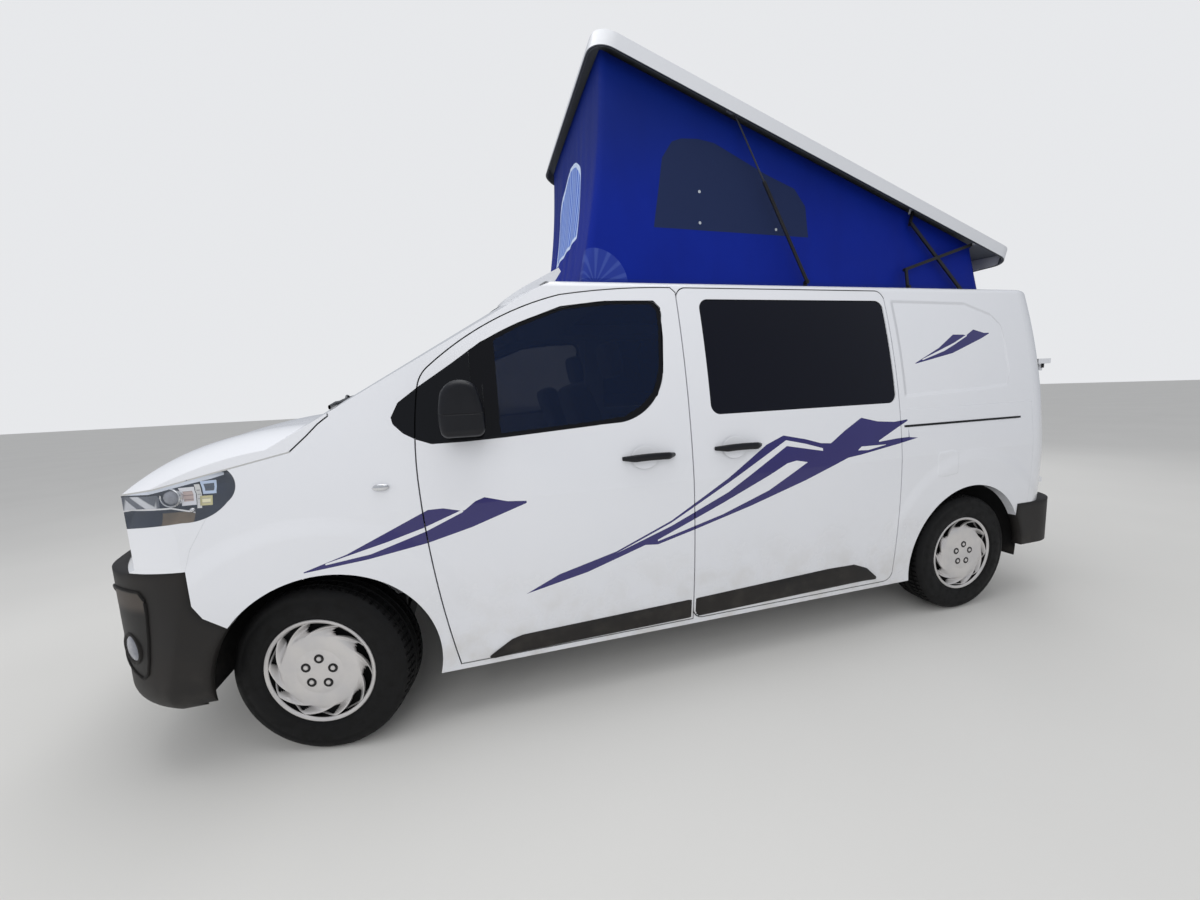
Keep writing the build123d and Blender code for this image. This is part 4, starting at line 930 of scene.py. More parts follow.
def tent_point(share, y, wall, v):
    """A place on the cloth, v of the way up from its foot."""
    foot, head = (ends[0] + (ends[1] - ends[0]) * share for ends in (FOOT_X, HEAD_X))
    x = foot + (head - foot) * v
    x -= LEAN * sin(pi * v) * (share if wall != "rear" else 0)
    z = TENT_FOOT + (lid_foot(x) + HEAD_LET_IN - TENT_FOOT) * v
    spot = Vector((x, y, z))
    if wall == "side":
        sink = SINK * sin(pi * share) * sin(pi * v)
        fold = 0.0035 * noise.noise(Vector((x * 7 - z * 5, z * 1.3, 3.1))) * sin(pi * v) ** 0.5
        near_front = max(0.0, (share - 0.93) / 0.07)
        crease = 0.004 * near_front * noise.noise(Vector((x * 60, z * 2.5, 9)))
        spot.y -= (1 if y > 0 else -1) * (sink - fold - crease)
    else:
        across = 1 - (abs(y) / TENT_HALF) ** 4
        folds = noise.noise(Vector((y * 16 + 0.8 * sin(z * 3), z * 1.1, 1.7)))
        fine = noise.noise(Vector((y * 40, z * 2.2, 5.3)))
        out = (0.012 * folds + 0.004 * fine) * sin(pi * min(1, v * 1.02)) ** 0.5
        spot.x += (1 if wall == "front" else -1) * across * (out + 0.006)
    return spot


def tent():
    shape = bmesh.new()
    made = bmesh.ops.create_grid(shape, x_segments=CANVAS_COLUMNS, y_segments=CANVAS_ROWS, size=0.5)
    plan = tent_plan(CANVAS_COLUMNS)
    for vert in made["verts"]:
        column = round((vert.co.x + 0.5) * CANVAS_COLUMNS) % CANVAS_COLUMNS
        vert.co = tent_point(*plan[column], vert.co.y + 0.5)
    bmesh.ops.remove_doubles(shape, verts=shape.verts, dist=0.0002)
    for _ in range(3):
        free = [v for v in shape.verts if TENT_FOOT + 0.01 < v.co.z < lid_foot(v.co.x) + 0.02]
        bmesh.ops.smooth_vert(shape, verts=free, factor=0.5, use_axis_x=True, use_axis_y=True)
    return shape


print("front wall", round(lid_foot(HEAD_X[1]) - TENT_FOOT, 3), "m high")

# %% [markdown]
# The cloth carries mesh windows at the sides, a clear one with a curtain ahead, press studs and
# a pale round patch with radial lines. All of them lie flat in the cloth, so they are masks in its
# finish; the curtain's folds and the shade under the lid are painted into it. The finish reads the
# cloth's place from an attribute, which keeps each point where the sheet was laid out.

# %% Finish of the canvas
MESH_TOP = [
    (0.066, 2.165), (0.012, 2.491), (-0.042, 2.57), (-0.095, 2.589), (-0.183, 2.595),
    (-0.273, 2.584), (-0.575, 2.462), (-0.755, 2.402), (-0.829, 2.316), (-0.852, 2.158),
]
MESH_FOOT = [(0.066, 2.165), (-0.852, 2.158)]
FRONT_TOP = [(-0.3 * cos(pi * i / 24), 2.44 + 0.25 * sin(pi * i / 24)) for i in range(25)]
FRONT_FOOT = [(-0.3, 2.2), (0.3, 2.2)]
PATCH_SPOT = (0.385, 1.885)
STUDS = [(-0.19, 2.35), (-0.19, 2.2), (-0.645, 2.19)]


def canvas_cloth():
    finish = Finish("canvas_cloth", IOR=1.25)
    vector = finish.add("ShaderNodeAttribute", {"attribute_name": "flat_place"}, output="Vector")
    x, y, z = [finish.add("ShaderNodeSeparateXYZ", sockets={0: vector}, output=i) for i in range(3)]
    flank = abs(y) > 0.55
    window = finish.between(x, z, MESH_FOOT, MESH_TOP) * flank
    ahead = (x > 0.2) * (abs(y) < 0.5)
    pane = finish.between(y, z, FRONT_FOOT, FRONT_TOP) * ahead
    inner_top = [(px * 0.93, pz - 0.02) for px, pz in FRONT_TOP]
    inner_foot = [(px * 0.93, pz + 0.02) for px, pz in FRONT_FOOT]
    piping = pane * (1 - finish.between(y, z, inner_foot, inner_top))
    warp = ((x + y) * 2400).sine() * 0.5 + 0.5
    weft = (z * 2400).sine() * 0.5 + 0.5
    weave = warp * weft
    shade = finish.noise(finish.stretch(vector, 1.0, 1.0, 0.45), 3.2, 4.0)
    cloth = finish.mix(shade, (2, 36, 148), (1, 20, 112))
    cloth = finish.mix(weave * 0.15, cloth, (18, 62, 186))
    # Painted shade: the cloth is made darker towards its top, where the lid's rim shades it.
    cloth = finish.mix(z.ramp(2.15, 2.75) * 0.5, cloth, (10, 34, 92))
    net = finish.mix((x * 1500).sine() * (z * 1500).sine() * 0.5 + 0.5, (26, 38, 72), (36, 48, 84))
    tone = finish.mix(window, cloth, net)
    studs = 0
    for stud_x, stud_z in STUDS:
        studs = studs + (finish.distance(x - stud_x, z - stud_z) < 0.0075) * flank
    tone = finish.mix(studs, tone, (176, 182, 190))
    # Painted light and shade: the curtain's folds are pale and dark stripes in its colour, and the same
    # stripes bump it.
    curtain_folds_and_shade = ((y * 190 + (z * 9).sine()).sine() * 0.5 + 0.5).ramp(0.15, 0.85)
    tone = finish.mix(pane, tone, finish.mix(curtain_folds_and_shade, (44, 84, 190), (150, 176, 226)))
    tone = finish.mix(piping, tone, (196, 212, 240))
    dx, dz = x - PATCH_SPOT[0], z - PATCH_SPOT[1]
    patch = (finish.distance(dx, dz) < 0.17) * flank
    rays = (x.math("ARCTAN2", dz, dx) * 16).sine().ramp(0.2, 0.9)
    tone = finish.mix(patch * (0.1 + 0.12 * rays), tone, (120, 145, 210))
    hem = (z < TENT_FOOT + 0.03) * 0.5
    finish.set(Base_Color=finish.mix(hem, tone, (12, 34, 120)))
    finish.set(Roughness=0.62 - 0.2 * pane + 0.1 * window)
    height = weave * 0.3 + curtain_folds_and_shade * pane + window * 0.3 + patch * 0.3 + studs
    finish.set(Normal=finish.bump(height, 0.0006))
    return finish.material


CANVAS_CLOTH = canvas_cloth()
print("cloth with", 2 * len(STUDS), "studs")

# %% The canvas as one sheet
shape = tent()
canvas = keep(shape, "tent_cloth", "base", CANVAS_CLOTH, ["roof_canvas"], 70)
places = canvas.data.attributes.new("flat_place", "FLOAT_VECTOR", "POINT")
for vert, place in zip(canvas.data.vertices, places.data):
    place.vector = vert.co
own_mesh(canvas)

# %% [markdown]
# The lid is a white moulded shell, grey on its inside where the cloth is clamped. Below its rim runs
# a black rubber seal. It is a ring that follows the rim's rounded rectangle, made by drawing the
# ring's section round that path.

# %% Lid finish and seal
LID_LENGTH, LID_HALF, LID_CORNER = 2.787, 0.695, 0.11
LID_SPACE = Matrix.Translation(LID_TAIL) @ Matrix.Rotation(-LID_PITCH, 4, "Y")


def rim_path(inset, height):
    """Points round the lid's rim, with rounded corners."""
    radius = max(LID_CORNER - inset, 0.02)
    points = []
    for corner, (sx, sy) in enumerate(((1, 1), (0, 1), (0, -1), (1, -1))):
        along = LID_LENGTH - inset - radius if sx else inset + radius
        centre = Vector((along, sy * (LID_HALF - inset - radius), height))
        for i in range(9):
            angle = corner * pi / 2 + i * pi / 16
            points.append(LID_SPACE @ (centre + radius * Vector((cos(angle), sin(angle), 0))))
    return points


def lid_shell():
    finish = Finish("lid_shell", Coat_Roughness=0.1)
    vector = finish.place()[0]
    lowered = finish.add("ShaderNodeVectorMath", {"operation": "SUBTRACT"}, {0: vector, 1: (0, 0, 0.3)})
    inside = inside_mask(finish, lowered)
    fleck = finish.noise(vector, 2.2, 3.0)
    outer_tone = finish.mix(fleck, (216, 218, 222), (208, 210, 215))
    finish.set(Base_Color=finish.mix(inside, outer_tone, (96, 100, 106)))
    finish.set(Roughness=0.32 + inside * 0.35, Coat_Weight=(1 - inside) * 0.5)
    finish.set(Normal=finish.bump(finish.noise(vector, 300.0, 2.0), 0.00006))
    return finish.material


LID_SHELL = lid_shell()
SEAL_RUBBER = grained_plastic("seal_rubber", (20, 20, 22), (28, 28, 30), 0.55, 400.0, 0.0001)
dress(LID_SHELL, "roof_lid", "roof_deflector")
rows = [(0.0015, 0.012), (0.0015, 0.0005), (0.009, -0.0005), (0.0125, 0.0015)]
seal = banded([rim_path(inset, height) for inset, height in rows + rows[:1]])[0]
keep(seal, "lid_seal", "lid", SEAL_RUBBER, sharp=50)
print("lid rim", round(2 * (LID_LENGTH + 2 * LID_HALF), 2), "m round")

# %% [markdown]
# Along the foot of the doors lies a black plastic moulding that rises towards the middle. It
# crosses the front door's rear gap, so it is two pieces on each side: one rides on the front door,
# the other on the shell. The fuel flap and the slide door's rail are pads on the flank too.

# %% Side mouldings, fuel flap, rail and repeaters
MOULDING_TOP = [
    (1.022, 0.262), (1.005, 0.278), (0.917, 0.336), (0.868, 0.349), (0.06, 0.371),
    (-0.717, 0.402), (-0.881, 0.4), (-0.97, 0.365), (-1.04, 0.301), (-1.052, 0.29),
]
MOULDING_FOOT = [(1.022, 0.26), (0.0, 0.268), (-0.9, 0.284), (-1.052, 0.288)]
MOULDING_ENDS, DOOR_GAP = (1.022, -1.052), (0.0605, 0.0515)
REPEATER_SIZE, REPEATER_X, REPEATER_Z = (0.03, 0.01, 0.014), 1.358, 1.05
SIDES = ((1, "left"), (-1, "right"))


def cut_line(points, start, end):
    inner = [p for p in points if start < p[0] < end]
    return sorted(inner + [(start, on_line(points, start)), (end, on_line(points, end))])


for side, hand in SIDES:
    for name, body, start, end in (
        ("moulding_front_", hand + "_front_door", DOOR_GAP[0], MOULDING_ENDS[0]),
        ("moulding_rear_", "base", MOULDING_ENDS[1], DOOR_GAP[1]),
    ):
        foot, top = cut_line(MOULDING_FOOT, start, end), cut_line(MOULDING_TOP, start, end)
        shape = flank_pad(foot, top, side, 0.013, 90, 12, 0.16)
        keep(shape, name + hand, body, BUMPER_PLASTIC, outwards=False)
    shape = bmesh.new()
    bmesh.ops.create_uvsphere(shape, u_segments=32, v_segments=16, radius=1)
    bmesh.ops.scale(shape, verts=shape.verts, vec=REPEATER_SIZE)
    y = side * (side_y(REPEATER_Z) + 0.001)
    bmesh.ops.translate(shape, verts=shape.verts, vec=(REPEATER_X, y, REPEATER_Z))
    keep(shape, "repeater_" + hand, "base", BRIGHT_STEEL)

FLAP_FOOT = [(-1.552, 0.838), (-1.54, 0.822), (-1.452, 0.812), (-1.404, 0.822), (-1.394, 0.838)]
FLAP_TOP = [(-1.552, 0.938), (-1.54, 0.96), (-1.5, 0.974), (-1.41, 0.966), (-1.394, 0.948)]
shape = flank_pad(FLAP_FOOT, FLAP_TOP, 1, 0.0015, 24, 16, 0.06, 0.003)
keep(shape, "fuel_flap", "base", WHITE_PAINT, outwards=False)
RAIL_FOOT, RAIL_TOP = [(-1.15, 1.106), (-2.046, 1.106)], [(-1.15, 1.122), (-2.046, 1.122)]
shape = flank_pad(RAIL_FOOT, RAIL_TOP, 1, 0.002, 40, 6, 0.2)
keep(shape, "slide_rail", "base", GLOSS_BLACK, outwards=False)
print("trim on both flanks")

# %% [markdown]
# Each side door is opened by a black bar across a shallow round cup. The bar is a ring of
# points swept along an arched path: each new ring is extruded from the last, moved and scaled.

# %% Door handles
def sweep(path, sizes, segments):
    """A closed bar along a path. Each size is its half height and half depth across the path."""
    shape = bmesh.new()
    last = None
    for number, (spot, (tall, deep)) in enumerate(zip(path, sizes)):
        after = path[min(number + 1, len(path) - 1)] - path[max(number - 1, 0)]
        place = facing(spot, after) @ Matrix.Diagonal((deep, tall, 1, 1))
        if last is None:
            ring = bmesh.ops.create_circle(shape, cap_ends=True, segments=segments, radius=1)["verts"]
            bmesh.ops.transform(shape, matrix=place, verts=ring)
            face = ring[0].link_faces[0]
        else:
            face = bmesh.ops.extrude_discrete_faces(shape, faces=[face])["faces"][0]
            bmesh.ops.transform(shape, matrix=place @ last.inverted(), verts=face.verts)
        last = place
    return shape


HANDLE_STEPS, HANDLE_REACH = 24, 0.038
CUP_OUTLINE = [
    (0.052, -0.001), (0.05, 0.0012), (0.047, 0.0012), (0.04, -0.004), (0.02, -0.01), (0.0005, -0.012),
]
HANDLES = (
    # name, body, side, front x, rear x, z
    ("front_left", "left_front_door", 1, 0.39, 0.147, 1.075),
    ("front_right", "right_front_door", -1, 0.39, 0.147, 1.075),
    ("slide_left", "base", 1, -0.058, -0.3, 1.085),
)
for name, body, side, front, rear, z in HANDLES:
    skin = side_y(z)
    path, sizes = [], []
    for i in range(HANDLE_STEPS + 1):
        t = i / HANDLE_STEPS
        arch = min(1.0, sin(pi * t) * 1.9)
        out = skin - 0.006 + HANDLE_REACH * arch
        path.append(Vector((front + (rear - front) * t, side * out, z + 0.004 * sin(pi * t))))
        sizes.append((0.009 + 0.007 * arch, 0.007 + 0.003 * arch))
    keep(sweep(path, sizes, 16), "handle_" + name, body, MIRROR_PLASTIC, sharp=60)
    lean = atan2(side_y(z + 0.05) - side_y(z - 0.05), 0.1)
    spot = ((front + rear) / 2 + 0.02, side * (skin + 0.0012), z)
    place = facing(spot, (0, side * cos(lean), -sin(lean))) @ Matrix.Diagonal((1.25, 1, 0.25, 1))
    cup = turned(CUP_OUTLINE, 48, place)
    keep(cup, "handle_cup_" + name, body, WHITE_PAINT, outwards=False)
print(len(HANDLES), "handles")

# %% [markdown]
# The headlamps are clear covers over a dark bowl with a round projector, bright reflector boxes and
# a light bar along the top; the boxes' tints and stripes and the nose's light and dark flutes are
# painted reflections and shade. The cover's surface is the CAD lamp's own outer skin, so a merged
# copy of it is cut down to the faces that look outwards. The bowl is a second copy, moved in.

# %% Covers and bowls of the headlamps
def outer_skin(node, moved_in=0.0):
    """A merged copy of a lamp, cut down to the skin that shows, and moved in along its normals."""
    shape = bmesh.new()
    shape.from_mesh(NODES[node].data)
    bmesh.ops.remove_doubles(shape, verts=shape.verts, dist=0.00002)
    hidden = []
    for face in shape.faces:
        side = 1 if face.calc_center_median().y > 0 else -1
        if face.normal.y * side < 0.06 or face.normal.x < -0.4:
            hidden.append(face)
    bmesh.ops.delete(shape, geom=hidden, context="FACES")
    shape.normal_update()
    if moved_in:
        bmesh.ops.subdivide_edges(shape, edges=shape.edges, cuts=1, use_grid_fill=True)
        shape.normal_update()
        places = {v: v.co - v.normal * moved_in for v in shape.verts if not v.is_boundary}
        for vert, place in places.items():
            vert.co = place
    return shape


def lamp_cover():
    finish = Finish("lamp_cover", Roughness=0.02, IOR=1.45)
    vector = finish.place()[0]
    haze = finish.noise(vector, 18.0, 3.0)
    finish.set(Base_Color=finish.mix(haze, (206, 214, 222), (196, 204, 212)))
    finish.set(Alpha=0.07 + 0.04 * haze)
    return finish.material


LAMP_BAR_FOOT = [(2.075, 1.096), (2.04, 1.103), (1.953, 1.122), (1.895, 1.133), (1.86, 1.143)]
LAMP_BAR_TOP = [(2.075, 1.113), (2.04, 1.121), (1.953, 1.137), (1.895, 1.149), (1.86, 1.154)]
# Painted reflections: each box's colours of the middle and of the rest are the tints its chrome shows, not
# its own colour.
LAMP_BOXES = (
    # low x, high x, foot, top, colour of the middle, colour of the rest
    (1.949, 1.992, 1.046, 1.11, (196, 176, 172), (226, 226, 232)),
    (1.932, 1.947, 1.034, 1.118, (208, 208, 208), (216, 216, 216)),
    (1.885, 1.928, 1.081, 1.127, (78, 88, 104), (196, 212, 238)),
    (1.898, 1.938, 1.042, 1.075, (238, 232, 196), (206, 198, 150)),
)


def lamp_bowl():
    """Black, with a light bar along the top, bright boxes ahead whose tints are painted reflections, and a
    thin chrome line below them.
    """
    finish = Finish("lamp_bowl", IOR=1.4)
    vector, x, y, z = finish.place()
    tone = finish.mix(finish.noise(vector, 14.0, 2.0), (8, 12, 24), (26, 36, 58))
    amber = (x > 1.955) * (x < 2.05) * (z < 1.026)
    brown = finish.mix(finish.noise(vector, 30.0, 2.0), (118, 102, 84), (62, 54, 46))
    tone = finish.mix(amber, tone, brown)
    bright = 0
    for low, high, foot, top, middle, rest in LAMP_BOXES:
        area = (x > low) * (x < high) * (z > foot) * (z < top)
        core = abs(z - (foot + top) / 2) < (top - foot) * 0.28
        core = core * (abs(x - (low + high) / 2) < (high - low) * 0.33)
        # Painted shade: the ribs darken stripes across each box's middle.
        ribs = (z * 420).sine().ramp(0.5, 0.9) * 0.5
        box = finish.mix(core, rest, finish.mix(ribs, middle, (96, 92, 96)))
        tone = finish.mix(area, tone, box)
        bright = bright + area
    nose = (x > 2.056) * (z > 1.044) * (z < 1.09)
    # Painted reflections and shade: the nose's flutes are light and dark stripes in its colour, and they bump
    # it too.
    flutes = ((y * 260).sine() * 0.5 + 0.5).ramp(0.3, 0.7)
    tone = finish.mix(nose, tone, finish.mix(flutes, (96, 100, 110), (206, 208, 214)))
    bar = finish.between(x, z, LAMP_BAR_FOOT, LAMP_BAR_TOP)
    front_bar = (x > 2.075) * (z > 1.096) * (z < 1.112)
    tone = finish.mix(bar.larger(front_bar), tone, (212, 218, 230))
    line = (abs(z - (1.02 + (x - 1.955) * 0.3).smaller(1.041)) < 0.0028) * (x > 1.955)
    tone = finish.mix(line, tone, (226, 226, 228))
    finish.set(Base_Color=tone, Roughness=0.28, Metallic=(bright + line + nose) * 0.35)
    finish.set(Normal=finish.bump(bar + line + bright * 0.6 + flutes * nose * 0.4, 0.005))
    return finish.material


for name, moved_in, material, slot, replaced in (
    ("headlamp_covers", 0.0, lamp_cover(), "lamp_clear", ["headlamps"]),
    ("headlamp_bowls", 0.018, lamp_bowl(), "bright_steel", ()),
):
    shape = outer_skin("headlamps", moved_in)
    lamp = keep(shape, name, "base", material, replaced, 40, outwards=False)
print("lamp bowl faces", len(lamp.data.polygons))

# %% Projectors and side bulbs
PROJECTOR, BULB = (2.02, 0.936, 1.078), (1.962, 0.94, 1.029)
LAMP_FACING = (0.22, 0.97)
LAMP_PARTS = (
    # name, place, material, slot, steps, outline
    ("projector_ring_", PROJECTOR, BRIGHT_STEEL, "bright_steel", 48,
     [(0.034, -0.016), (0.034, 0.002), (0.0315, 0.006), (0.029, 0.004), (0.0275, -0.003)]),
    ("projector_lens_", PROJECTOR, LENS_GREY, "clear_glass", 48,
     [(0.0275, -0.01), (0.025, 0.0), (0.019, 0.006), (0.01, 0.0095), (0.0, 0.0105)]),
    ("side_bulb_", BULB, BRIGHT_STEEL, "bright_steel", 24,
     [(0.0085, -0.006), (0.0085, 0.0), (0.0065, 0.005), (0.003, 0.008), (0.0, 0.0085)]),
)
for side, hand in SIDES:
    outward = Vector((LAMP_FACING[0], LAMP_FACING[1] * side, 0)).normalized()
    for name, (x, y, z), material, slot, steps, outline in LAMP_PARTS:
        shape = turned(outline, steps, facing((x, side * y, z), outward))
        keep(shape, name + hand, "base", material)
print(2 * len(LAMP_PARTS), "round parts in the lamps")

# %% [markdown]
# The tail lamps are tall columns of red plastic with a pale band for the indicator and the
# reversing lamp. Fine upright flutes behind the skin catch the light, so they are bump.

# %% Tail lamps
def tail_lamp():
    finish = Finish("tail_lamp", Roughness=0.06, Coat_Weight=1.0, Coat_Roughness=0.03)
    vector, x, y, z = finish.place()
    pale = (z > 0.925) * (z < 1.035)
    split = abs(z - 0.98) < 0.003
    tone = finish.mix(finish.noise(vector, 12.0, 3.0), (168, 12, 18), (140, 8, 14))
    tone = finish.mix(pale, tone, (226, 214, 206))
    finish.set(Base_Color=finish.mix(split, tone, (70, 10, 14)))
    flutes = ((y * 900).sine() * 0.5 + 0.5) + (z * 500).sine() * 0.3
    finish.set(Normal=finish.bump(flutes, 0.0006))
    return finish.material


dress(tail_lamp(), "tail_lamps")

# %% [markdown]
# Each fog lamp sits in a pocket of the bumper. Cutting the bumper would change the CAD piece, so the
# pocket is laid on it: a loop of points on its skin becomes a raised rim by a sweep, and the inside,
# painted dark as the shade of a recess, by bridging shrinking copies of the loop.

# %% Fog lamp pockets
FOG_LOOP = (
    (2.224, 0.872, 0.752), (2.173, 0.906, 0.75), (2.153, 0.916, 0.721), (2.154, 0.916, 0.676),
    (2.164, 0.911, 0.583), (2.18, 0.902, 0.489), (2.195, 0.893, 0.439), (2.219, 0.876, 0.418),
    (2.25, 0.851, 0.429), (2.294, 0.806, 0.45), (2.345, 0.74, 0.48), (2.372, 0.69, 0.54),
    (2.378, 0.675, 0.62), (2.366, 0.7, 0.7), (2.33, 0.76, 0.744), (2.28, 0.824, 0.752),
)
FOG_SPOT = Vector((2.255, 0.846, 0.525))
BUMPER = skin_of("lower_bumper")


def fog_loop(side, shrink, proud, steps=6):
    """The pocket's outline on the bumper, drawn in towards its middle."""
    corners = [Vector((x, y * side, z)) for x, y, z in FOG_LOOP]
    middle = sum(corners, Vector()) / len(corners)
    points = []
    for a, b in zip(corners, corners[1:] + corners[:1]):
        for step in range(steps):
            spot = a.lerp(b, step / steps)
            points.append(on_skin(BUMPER, spot.lerp(middle, shrink), proud))
    return points


def pocket(side):
    rings = [(0.03, 0.0015)] + [(shrink, 0.001) for shrink in (0.12, 0.3, 0.5, 0.7, 0.88)]
    shape, last = banded([fog_loop(side, shrink, proud) for shrink, proud in rings])
    bmesh.ops.holes_fill(shape, edges=last, sides=0)
    return shape


def pocket_painted_shade():
    """A pocket's inside, painted dark as the shade of a recess, with a pale band across its top as a painted
    highlight.
    """
    finish = Finish("pocket_painted_shade", Roughness=0.5, IOR=1.35)
    vector, x, y, z = finish.place()
    # Painted highlight: a pale band near the pocket's top, where a shelf would catch the light; the dark tone
    # below it is painted shade.
    painted_highlight = z.ramp(0.66, 0.7) * z.ramp(0.762, 0.735)
    tone = finish.mix(finish.noise(vector, 12.0, 3.0), (12, 11, 11), (26, 23, 21))
    finish.set(Base_Color=finish.mix(painted_highlight * 0.7, tone, (78, 70, 64)))
    finish.set(Normal=finish.bump(finish.noise(vector, 500.0, 2.0), 0.0002))
    return finish.material


POCKET_PAINTED_SHADE = pocket_painted_shade()
FOG_PARTS = (
    # name, material, slot, outline
    ("fog_bezel_", BUMPER_PLASTIC, "black_plastic",
     [(0.062, -0.004), (0.06, 0.004), (0.055, 0.006), (0.05, 0.004), (0.046, 0.001)]),
    ("fog_lens_", LENS_GREY, "clear_glass",
     [(0.046, 0.001), (0.04, 0.004), (0.024, 0.0065), (0.0, 0.0075)]),
)
for side, hand in SIDES:
    keep(pocket(side), "fog_pocket_" + hand, "base", POCKET_PAINTED_SHADE, sharp=60)
    loop = fog_loop(side, 0.0, 0.001)
    shape = sweep(loop + loop[:1], [(0.0055, 0.0055)] * (len(loop) + 1), 8)
    keep(shape, "fog_rim_" + hand, "base", BUMPER_PLASTIC, sharp=60)
    spot, normal, _, _ = BUMPER.find_nearest(Vector((FOG_SPOT.x, FOG_SPOT.y * side, FOG_SPOT.z)))
    for name, material, slot, outline in FOG_PARTS:
        keep(turned(outline, 40, facing(spot, normal)), name + hand, "base", material)
print("each pocket has", len(loop), "points round it")

# %% [markdown]
# A wiper is a blade that lies on the windscreen and an arm that reaches down to its pivot on the
# cowl. The screen is curved, so rays dropped on it give the blade's places, and both are swept.

# %% Wipers
WIPERS = (
    # name, pivot x, y and blade's ends x, y
    ("left", (1.6, 0.3), (1.545, 0.78), (1.56, 0.1)),
    ("right", (1.62, -0.35), (1.555, 0.02), (1.53, -0.7)),
)


def dropped(x, y, lift):
    """A place on the windscreen or bonnet, lifted off it."""
    spot = TOPS.ray_cast(Vector((x, y, 3)), Vector((0, 0, -1)))[0]
    return spot + Vector((0, 0, lift))


BLADE_STEPS, ARM_STEPS = 20, 12
for hand, pivot, start, end in WIPERS:
    start, way = Vector(start), Vector(end) - Vector(start)
    blade = [dropped(*(start + way * i / BLADE_STEPS), 0.01) for i in range(BLADE_STEPS + 1)]
    shape = sweep(blade, [(0.009, 0.005)] * len(blade), 8)
    middle = blade[BLADE_STEPS // 2] + Vector((0, 0, 0.01))
    root = dropped(*pivot, 0.016)
    arm, sizes = [], []
    for i in range(ARM_STEPS + 1):
        arm.append(root.lerp(middle, i / ARM_STEPS) + Vector((0, 0, 0.012 * sin(pi * i / ARM_STEPS))))
        sizes.append((0.01 - 0.0004 * i, 0.006))
    whole = joined([shape, sweep(arm, sizes, 8)])
    keep(whole, "wiper_" + hand, "base", GLOSS_BLACK, sharp=60)
print("blade", round((blade[-1] - blade[0]).length, 2), "m long")

# %% [markdown]
# The glass of a door mirror has a rounded outline. It is a flat square grid whose corners a
# formula draws in, so its faces stay even. The tail doors' hinges show only as small rounded pins.

# %% Mirror glass and hinge pins
MIRROR_HALF_WIDTH, MIRROR_HALF_HEIGHT = 0.052, 0.085
for side, hand in SIDES:
    low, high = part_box("door_mirror_" + hand)
    shape = bmesh.new()
    bmesh.ops.create_grid(shape, x_segments=20, y_segments=20, size=1)
    for vert in shape.verts:
        u, v = vert.co.x, vert.co.y
        reach = (abs(u) ** 4 + abs(v) ** 4) ** 0.25
        scale = max(abs(u), abs(v)) / reach if reach > 0 else 1
        y = side * (0.5 * (abs(low[1]) + abs(high[1])) + MIRROR_HALF_WIDTH * u * scale)
        z = 0.5 * (low[2] + high[2]) + MIRROR_HALF_HEIGHT * v * scale
        vert.co = Vector((low[0] - 0.0008, y, z))
    keep(shape, "mirror_glass_" + hand, hand + "_front_door", BRIGHT_STEEL)

PIN_SIZE, PIN_HEIGHTS = (0.018, 0.006, 0.04), ((0.67, "_low"), (1.408, "_high"))
for side, hand in SIDES:
    axis = JOINTS[hand + "_tail_door_hinge"]["pos_m"]
    for z, height in PIN_HEIGHTS:
        shape = rounded_box(PIN_SIZE, (axis[0], axis[1] + side * 0.014, z), 0.002, 3)
        name, body = "tail_hinge_pin_" + hand + height, hand + "_tail_door"
        keep(shape, name, body, GLOSS_BLACK)
print("hinge pins", len(SIDES) * len(PIN_HEIGHTS))

# %% [markdown]
# The felt liners of the front arches reach a corner below the bumper, which the real ones don't.
# A copy stands for them, cut with two planes: the first makes edges where the corner starts, so that
# the second takes away nothing behind them.

# %% Arch liners
LINER_CUT_X, LINER_CUT_Z = 1.9, 0.3
liners = bmesh.new()
liners.from_mesh(NODES["arch_liners"].data)
bmesh.ops.remove_doubles(liners, verts=liners.verts, dist=0.00002)
whole = [*liners.verts, *liners.edges, *liners.faces]
bmesh.ops.bisect_plane(liners, geom=whole, plane_co=(LINER_CUT_X, 0, 0), plane_no=(1, 0, 0))
whole = [*liners.verts, *liners.edges, *liners.faces]
ahead = [part for part in whole if all(v.co.x > LINER_CUT_X - 0.0001 for v in getattr(part, "verts", [part]))]
corner = (LINER_CUT_X, 0, LINER_CUT_Z)
bmesh.ops.bisect_plane(liners, geom=ahead, plane_co=corner, plane_no=(0, 0, 1), clear_inner=True)
keep(liners, "trimmed_arch_liners", "base", LINER_FELT, ["arch_liners"], 40)
print("liners trimmed ahead of", LINER_CUT_X, "m")

# %% [markdown]
# Seats and bench are foam under woven cloth. Their plain solids only hold the place, and each
# cushion gets its own crowned form: a cube divided into a fine grid, whose corners are rounded by a
# formula and whose faces swell between the seams.

# %% Cushions
def seat_cloth():
    finish = Finish("seat_cloth", Sheen_Weight=0.3)
    vector, x, y, z = finish.place()
    weave = ((x * 1400).sine() * (y * 1400).sine() + (z * 1400).sine() * 0.5) * 0.5 + 0.5
    fleck = finish.noise(vector, 180.0, 2.0).ramp(0.4, 0.6)
    centre = (abs(abs(y) - 0.43) < 0.14) * 0.5
    tone = finish.mix(fleck, (52, 54, 60), (70, 72, 78))
    finish.set(Base_Color=finish.mix(centre, tone, (84, 86, 92)))
    finish.set(Roughness=0.85, Normal=finish.bump(weave, 0.0005))
    return finish.material


SEAT_CLOTH = seat_cloth()


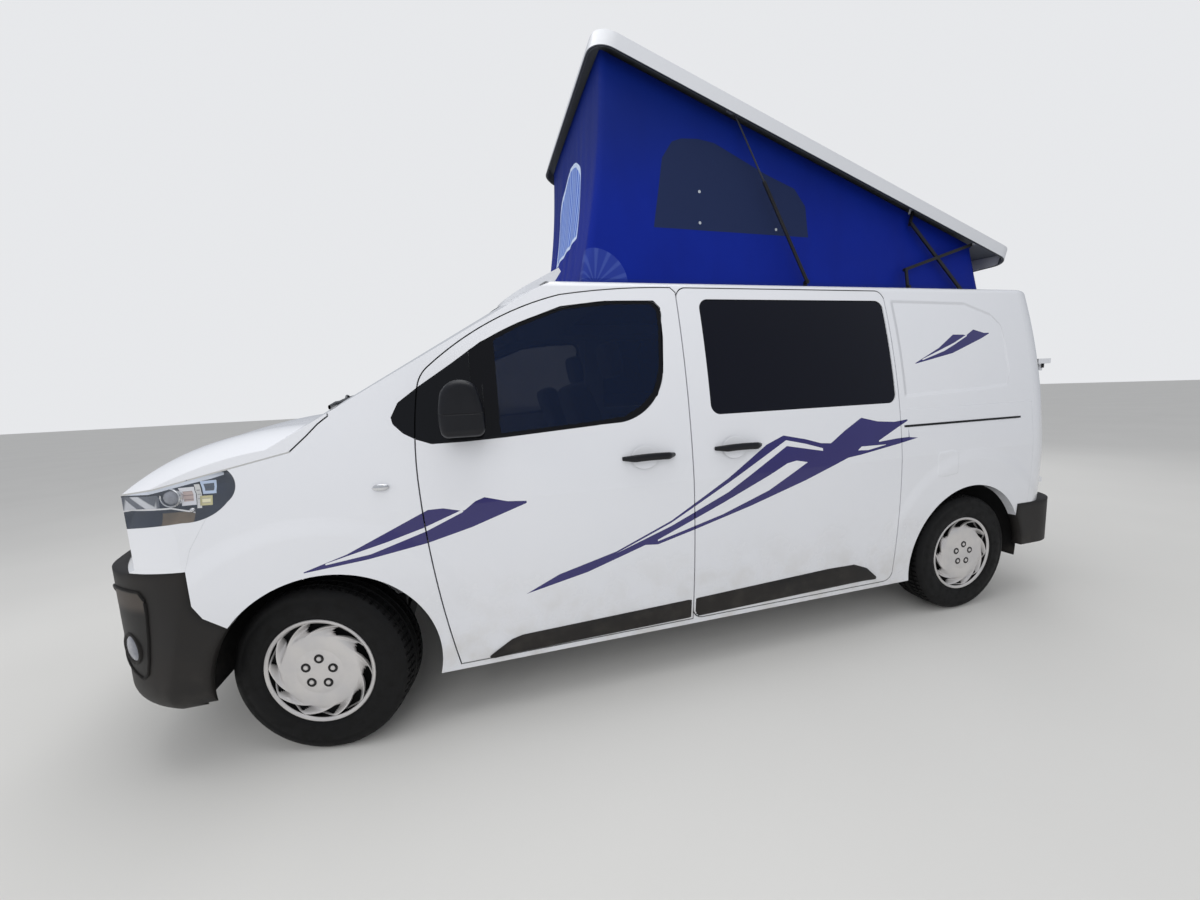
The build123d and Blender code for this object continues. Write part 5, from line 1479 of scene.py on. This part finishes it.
def cushion(size, matrix, crown, power, channels=0):
    """A crowned pad of this size, with its middle at matrix and channels sewn across it."""
    shape = bmesh.new()
    bmesh.ops.create_cube(shape, size=2)
    bmesh.ops.subdivide_edges(shape, edges=shape.edges, cuts=17, use_grid_fill=True)
    for vert in shape.verts:
        p = vert.co.copy()
        length = (abs(p.x) ** power + abs(p.y) ** power + abs(p.z) ** power) ** (1 / power)
        q = p / length
        swell = crown * (1 - q.x**2) * (1 - q.y**2) * (1 if q.z > 0 else 0.3)
        wave = 0.006 * abs(sin(pi * channels * (q.x + 1) / 2)) if channels and q.z > 0.5 else 0
        vert.co = Vector((q.x * size[0] / 2, q.y * size[1] / 2, q.z * (size[2] / 2 + swell + wave)))
    bmesh.ops.transform(shape, matrix=matrix, verts=shape.verts)
    return shape


def leaning(x, y, z, degrees):
    return Matrix.Translation((x, y, z)) @ Matrix.Rotation(radians(degrees), 4, "Y")


SEAT_Y, BENCH_Y = 0.43, 0.11


def padded(pads, name, replaced=()):
    piece = keep(joined(pads), name, "base", SEAT_CLOTH, replaced, 60)


for side, hand in SIDES:
    y = SEAT_Y * side
    padded([
        cushion((0.5, 0.46, 0.13), leaning(0.68, y, 0.815, 3), 0.016, 5, 4),
        cushion((0.6, 0.44, 0.12), leaning(0.4, y, 1.13, -70), 0.014, 5, 5),
        cushion((0.19, 0.25, 0.08), leaning(0.275, y, 1.535, -80), 0.01, 4),
    ], "seat_pads_" + hand, ["front_seats"] if side == 1 else ())
    base = rounded_box((0.38, 0.34, 0.215), (0.66, y, 0.648), 0.03, 4)
    keep(base, "seat_base_" + hand, "base", GREY_TRIM, (), 40)
padded([
    cushion((0.6, 0.96, 0.15), leaning(-1.52, BENCH_Y, 0.885, 2), 0.02, 6),
    cushion((0.56, 0.96, 0.13), leaning(-1.875, BENCH_Y, 1.18, -73), 0.018, 6),
], "bench_pads")
print("cushions", 2 * 3 + 2)

# %% [markdown]
# The furniture is board faced in a pale grain, with a dark worktop. The bench's box shows
# its board below the cushions.

# %% Furniture
def pale_board():
    finish = Finish("pale_board", Roughness=0.42)
    vector, x, y, z = finish.place()
    grain = finish.noise(finish.stretch(vector, 1.2, 14.0, 22.0), 3.0, 6.0)
    board = finish.mix(grain, (204, 198, 186), (184, 176, 160))
    top = z > 1.15
    doors = (abs((x * 2.0).sine()) < 0.02).larger(abs(z - 0.86) < 0.003)
    tone = finish.mix(doors * 0.7, board, (70, 66, 60))
    finish.set(Base_Color=finish.mix(top, tone, (60, 62, 66)))
    finish.set(Normal=finish.bump(grain, 0.0002))
    return finish.material


dress(pale_board(), "kitchen_unit", "rear_bench")

# %% [markdown]
# Last come the two sizes: the frame's box, kept from the start, and the box of everything that
# shows now.

# %% Keep the sizes and finish
low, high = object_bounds()
sizes = {"cad": [list(cad_low), list(cad_high)], "visual": [list(low), list(high)]}
print("visual box", [round(v, 3) for v in low], [round(v, 3) for v in high])
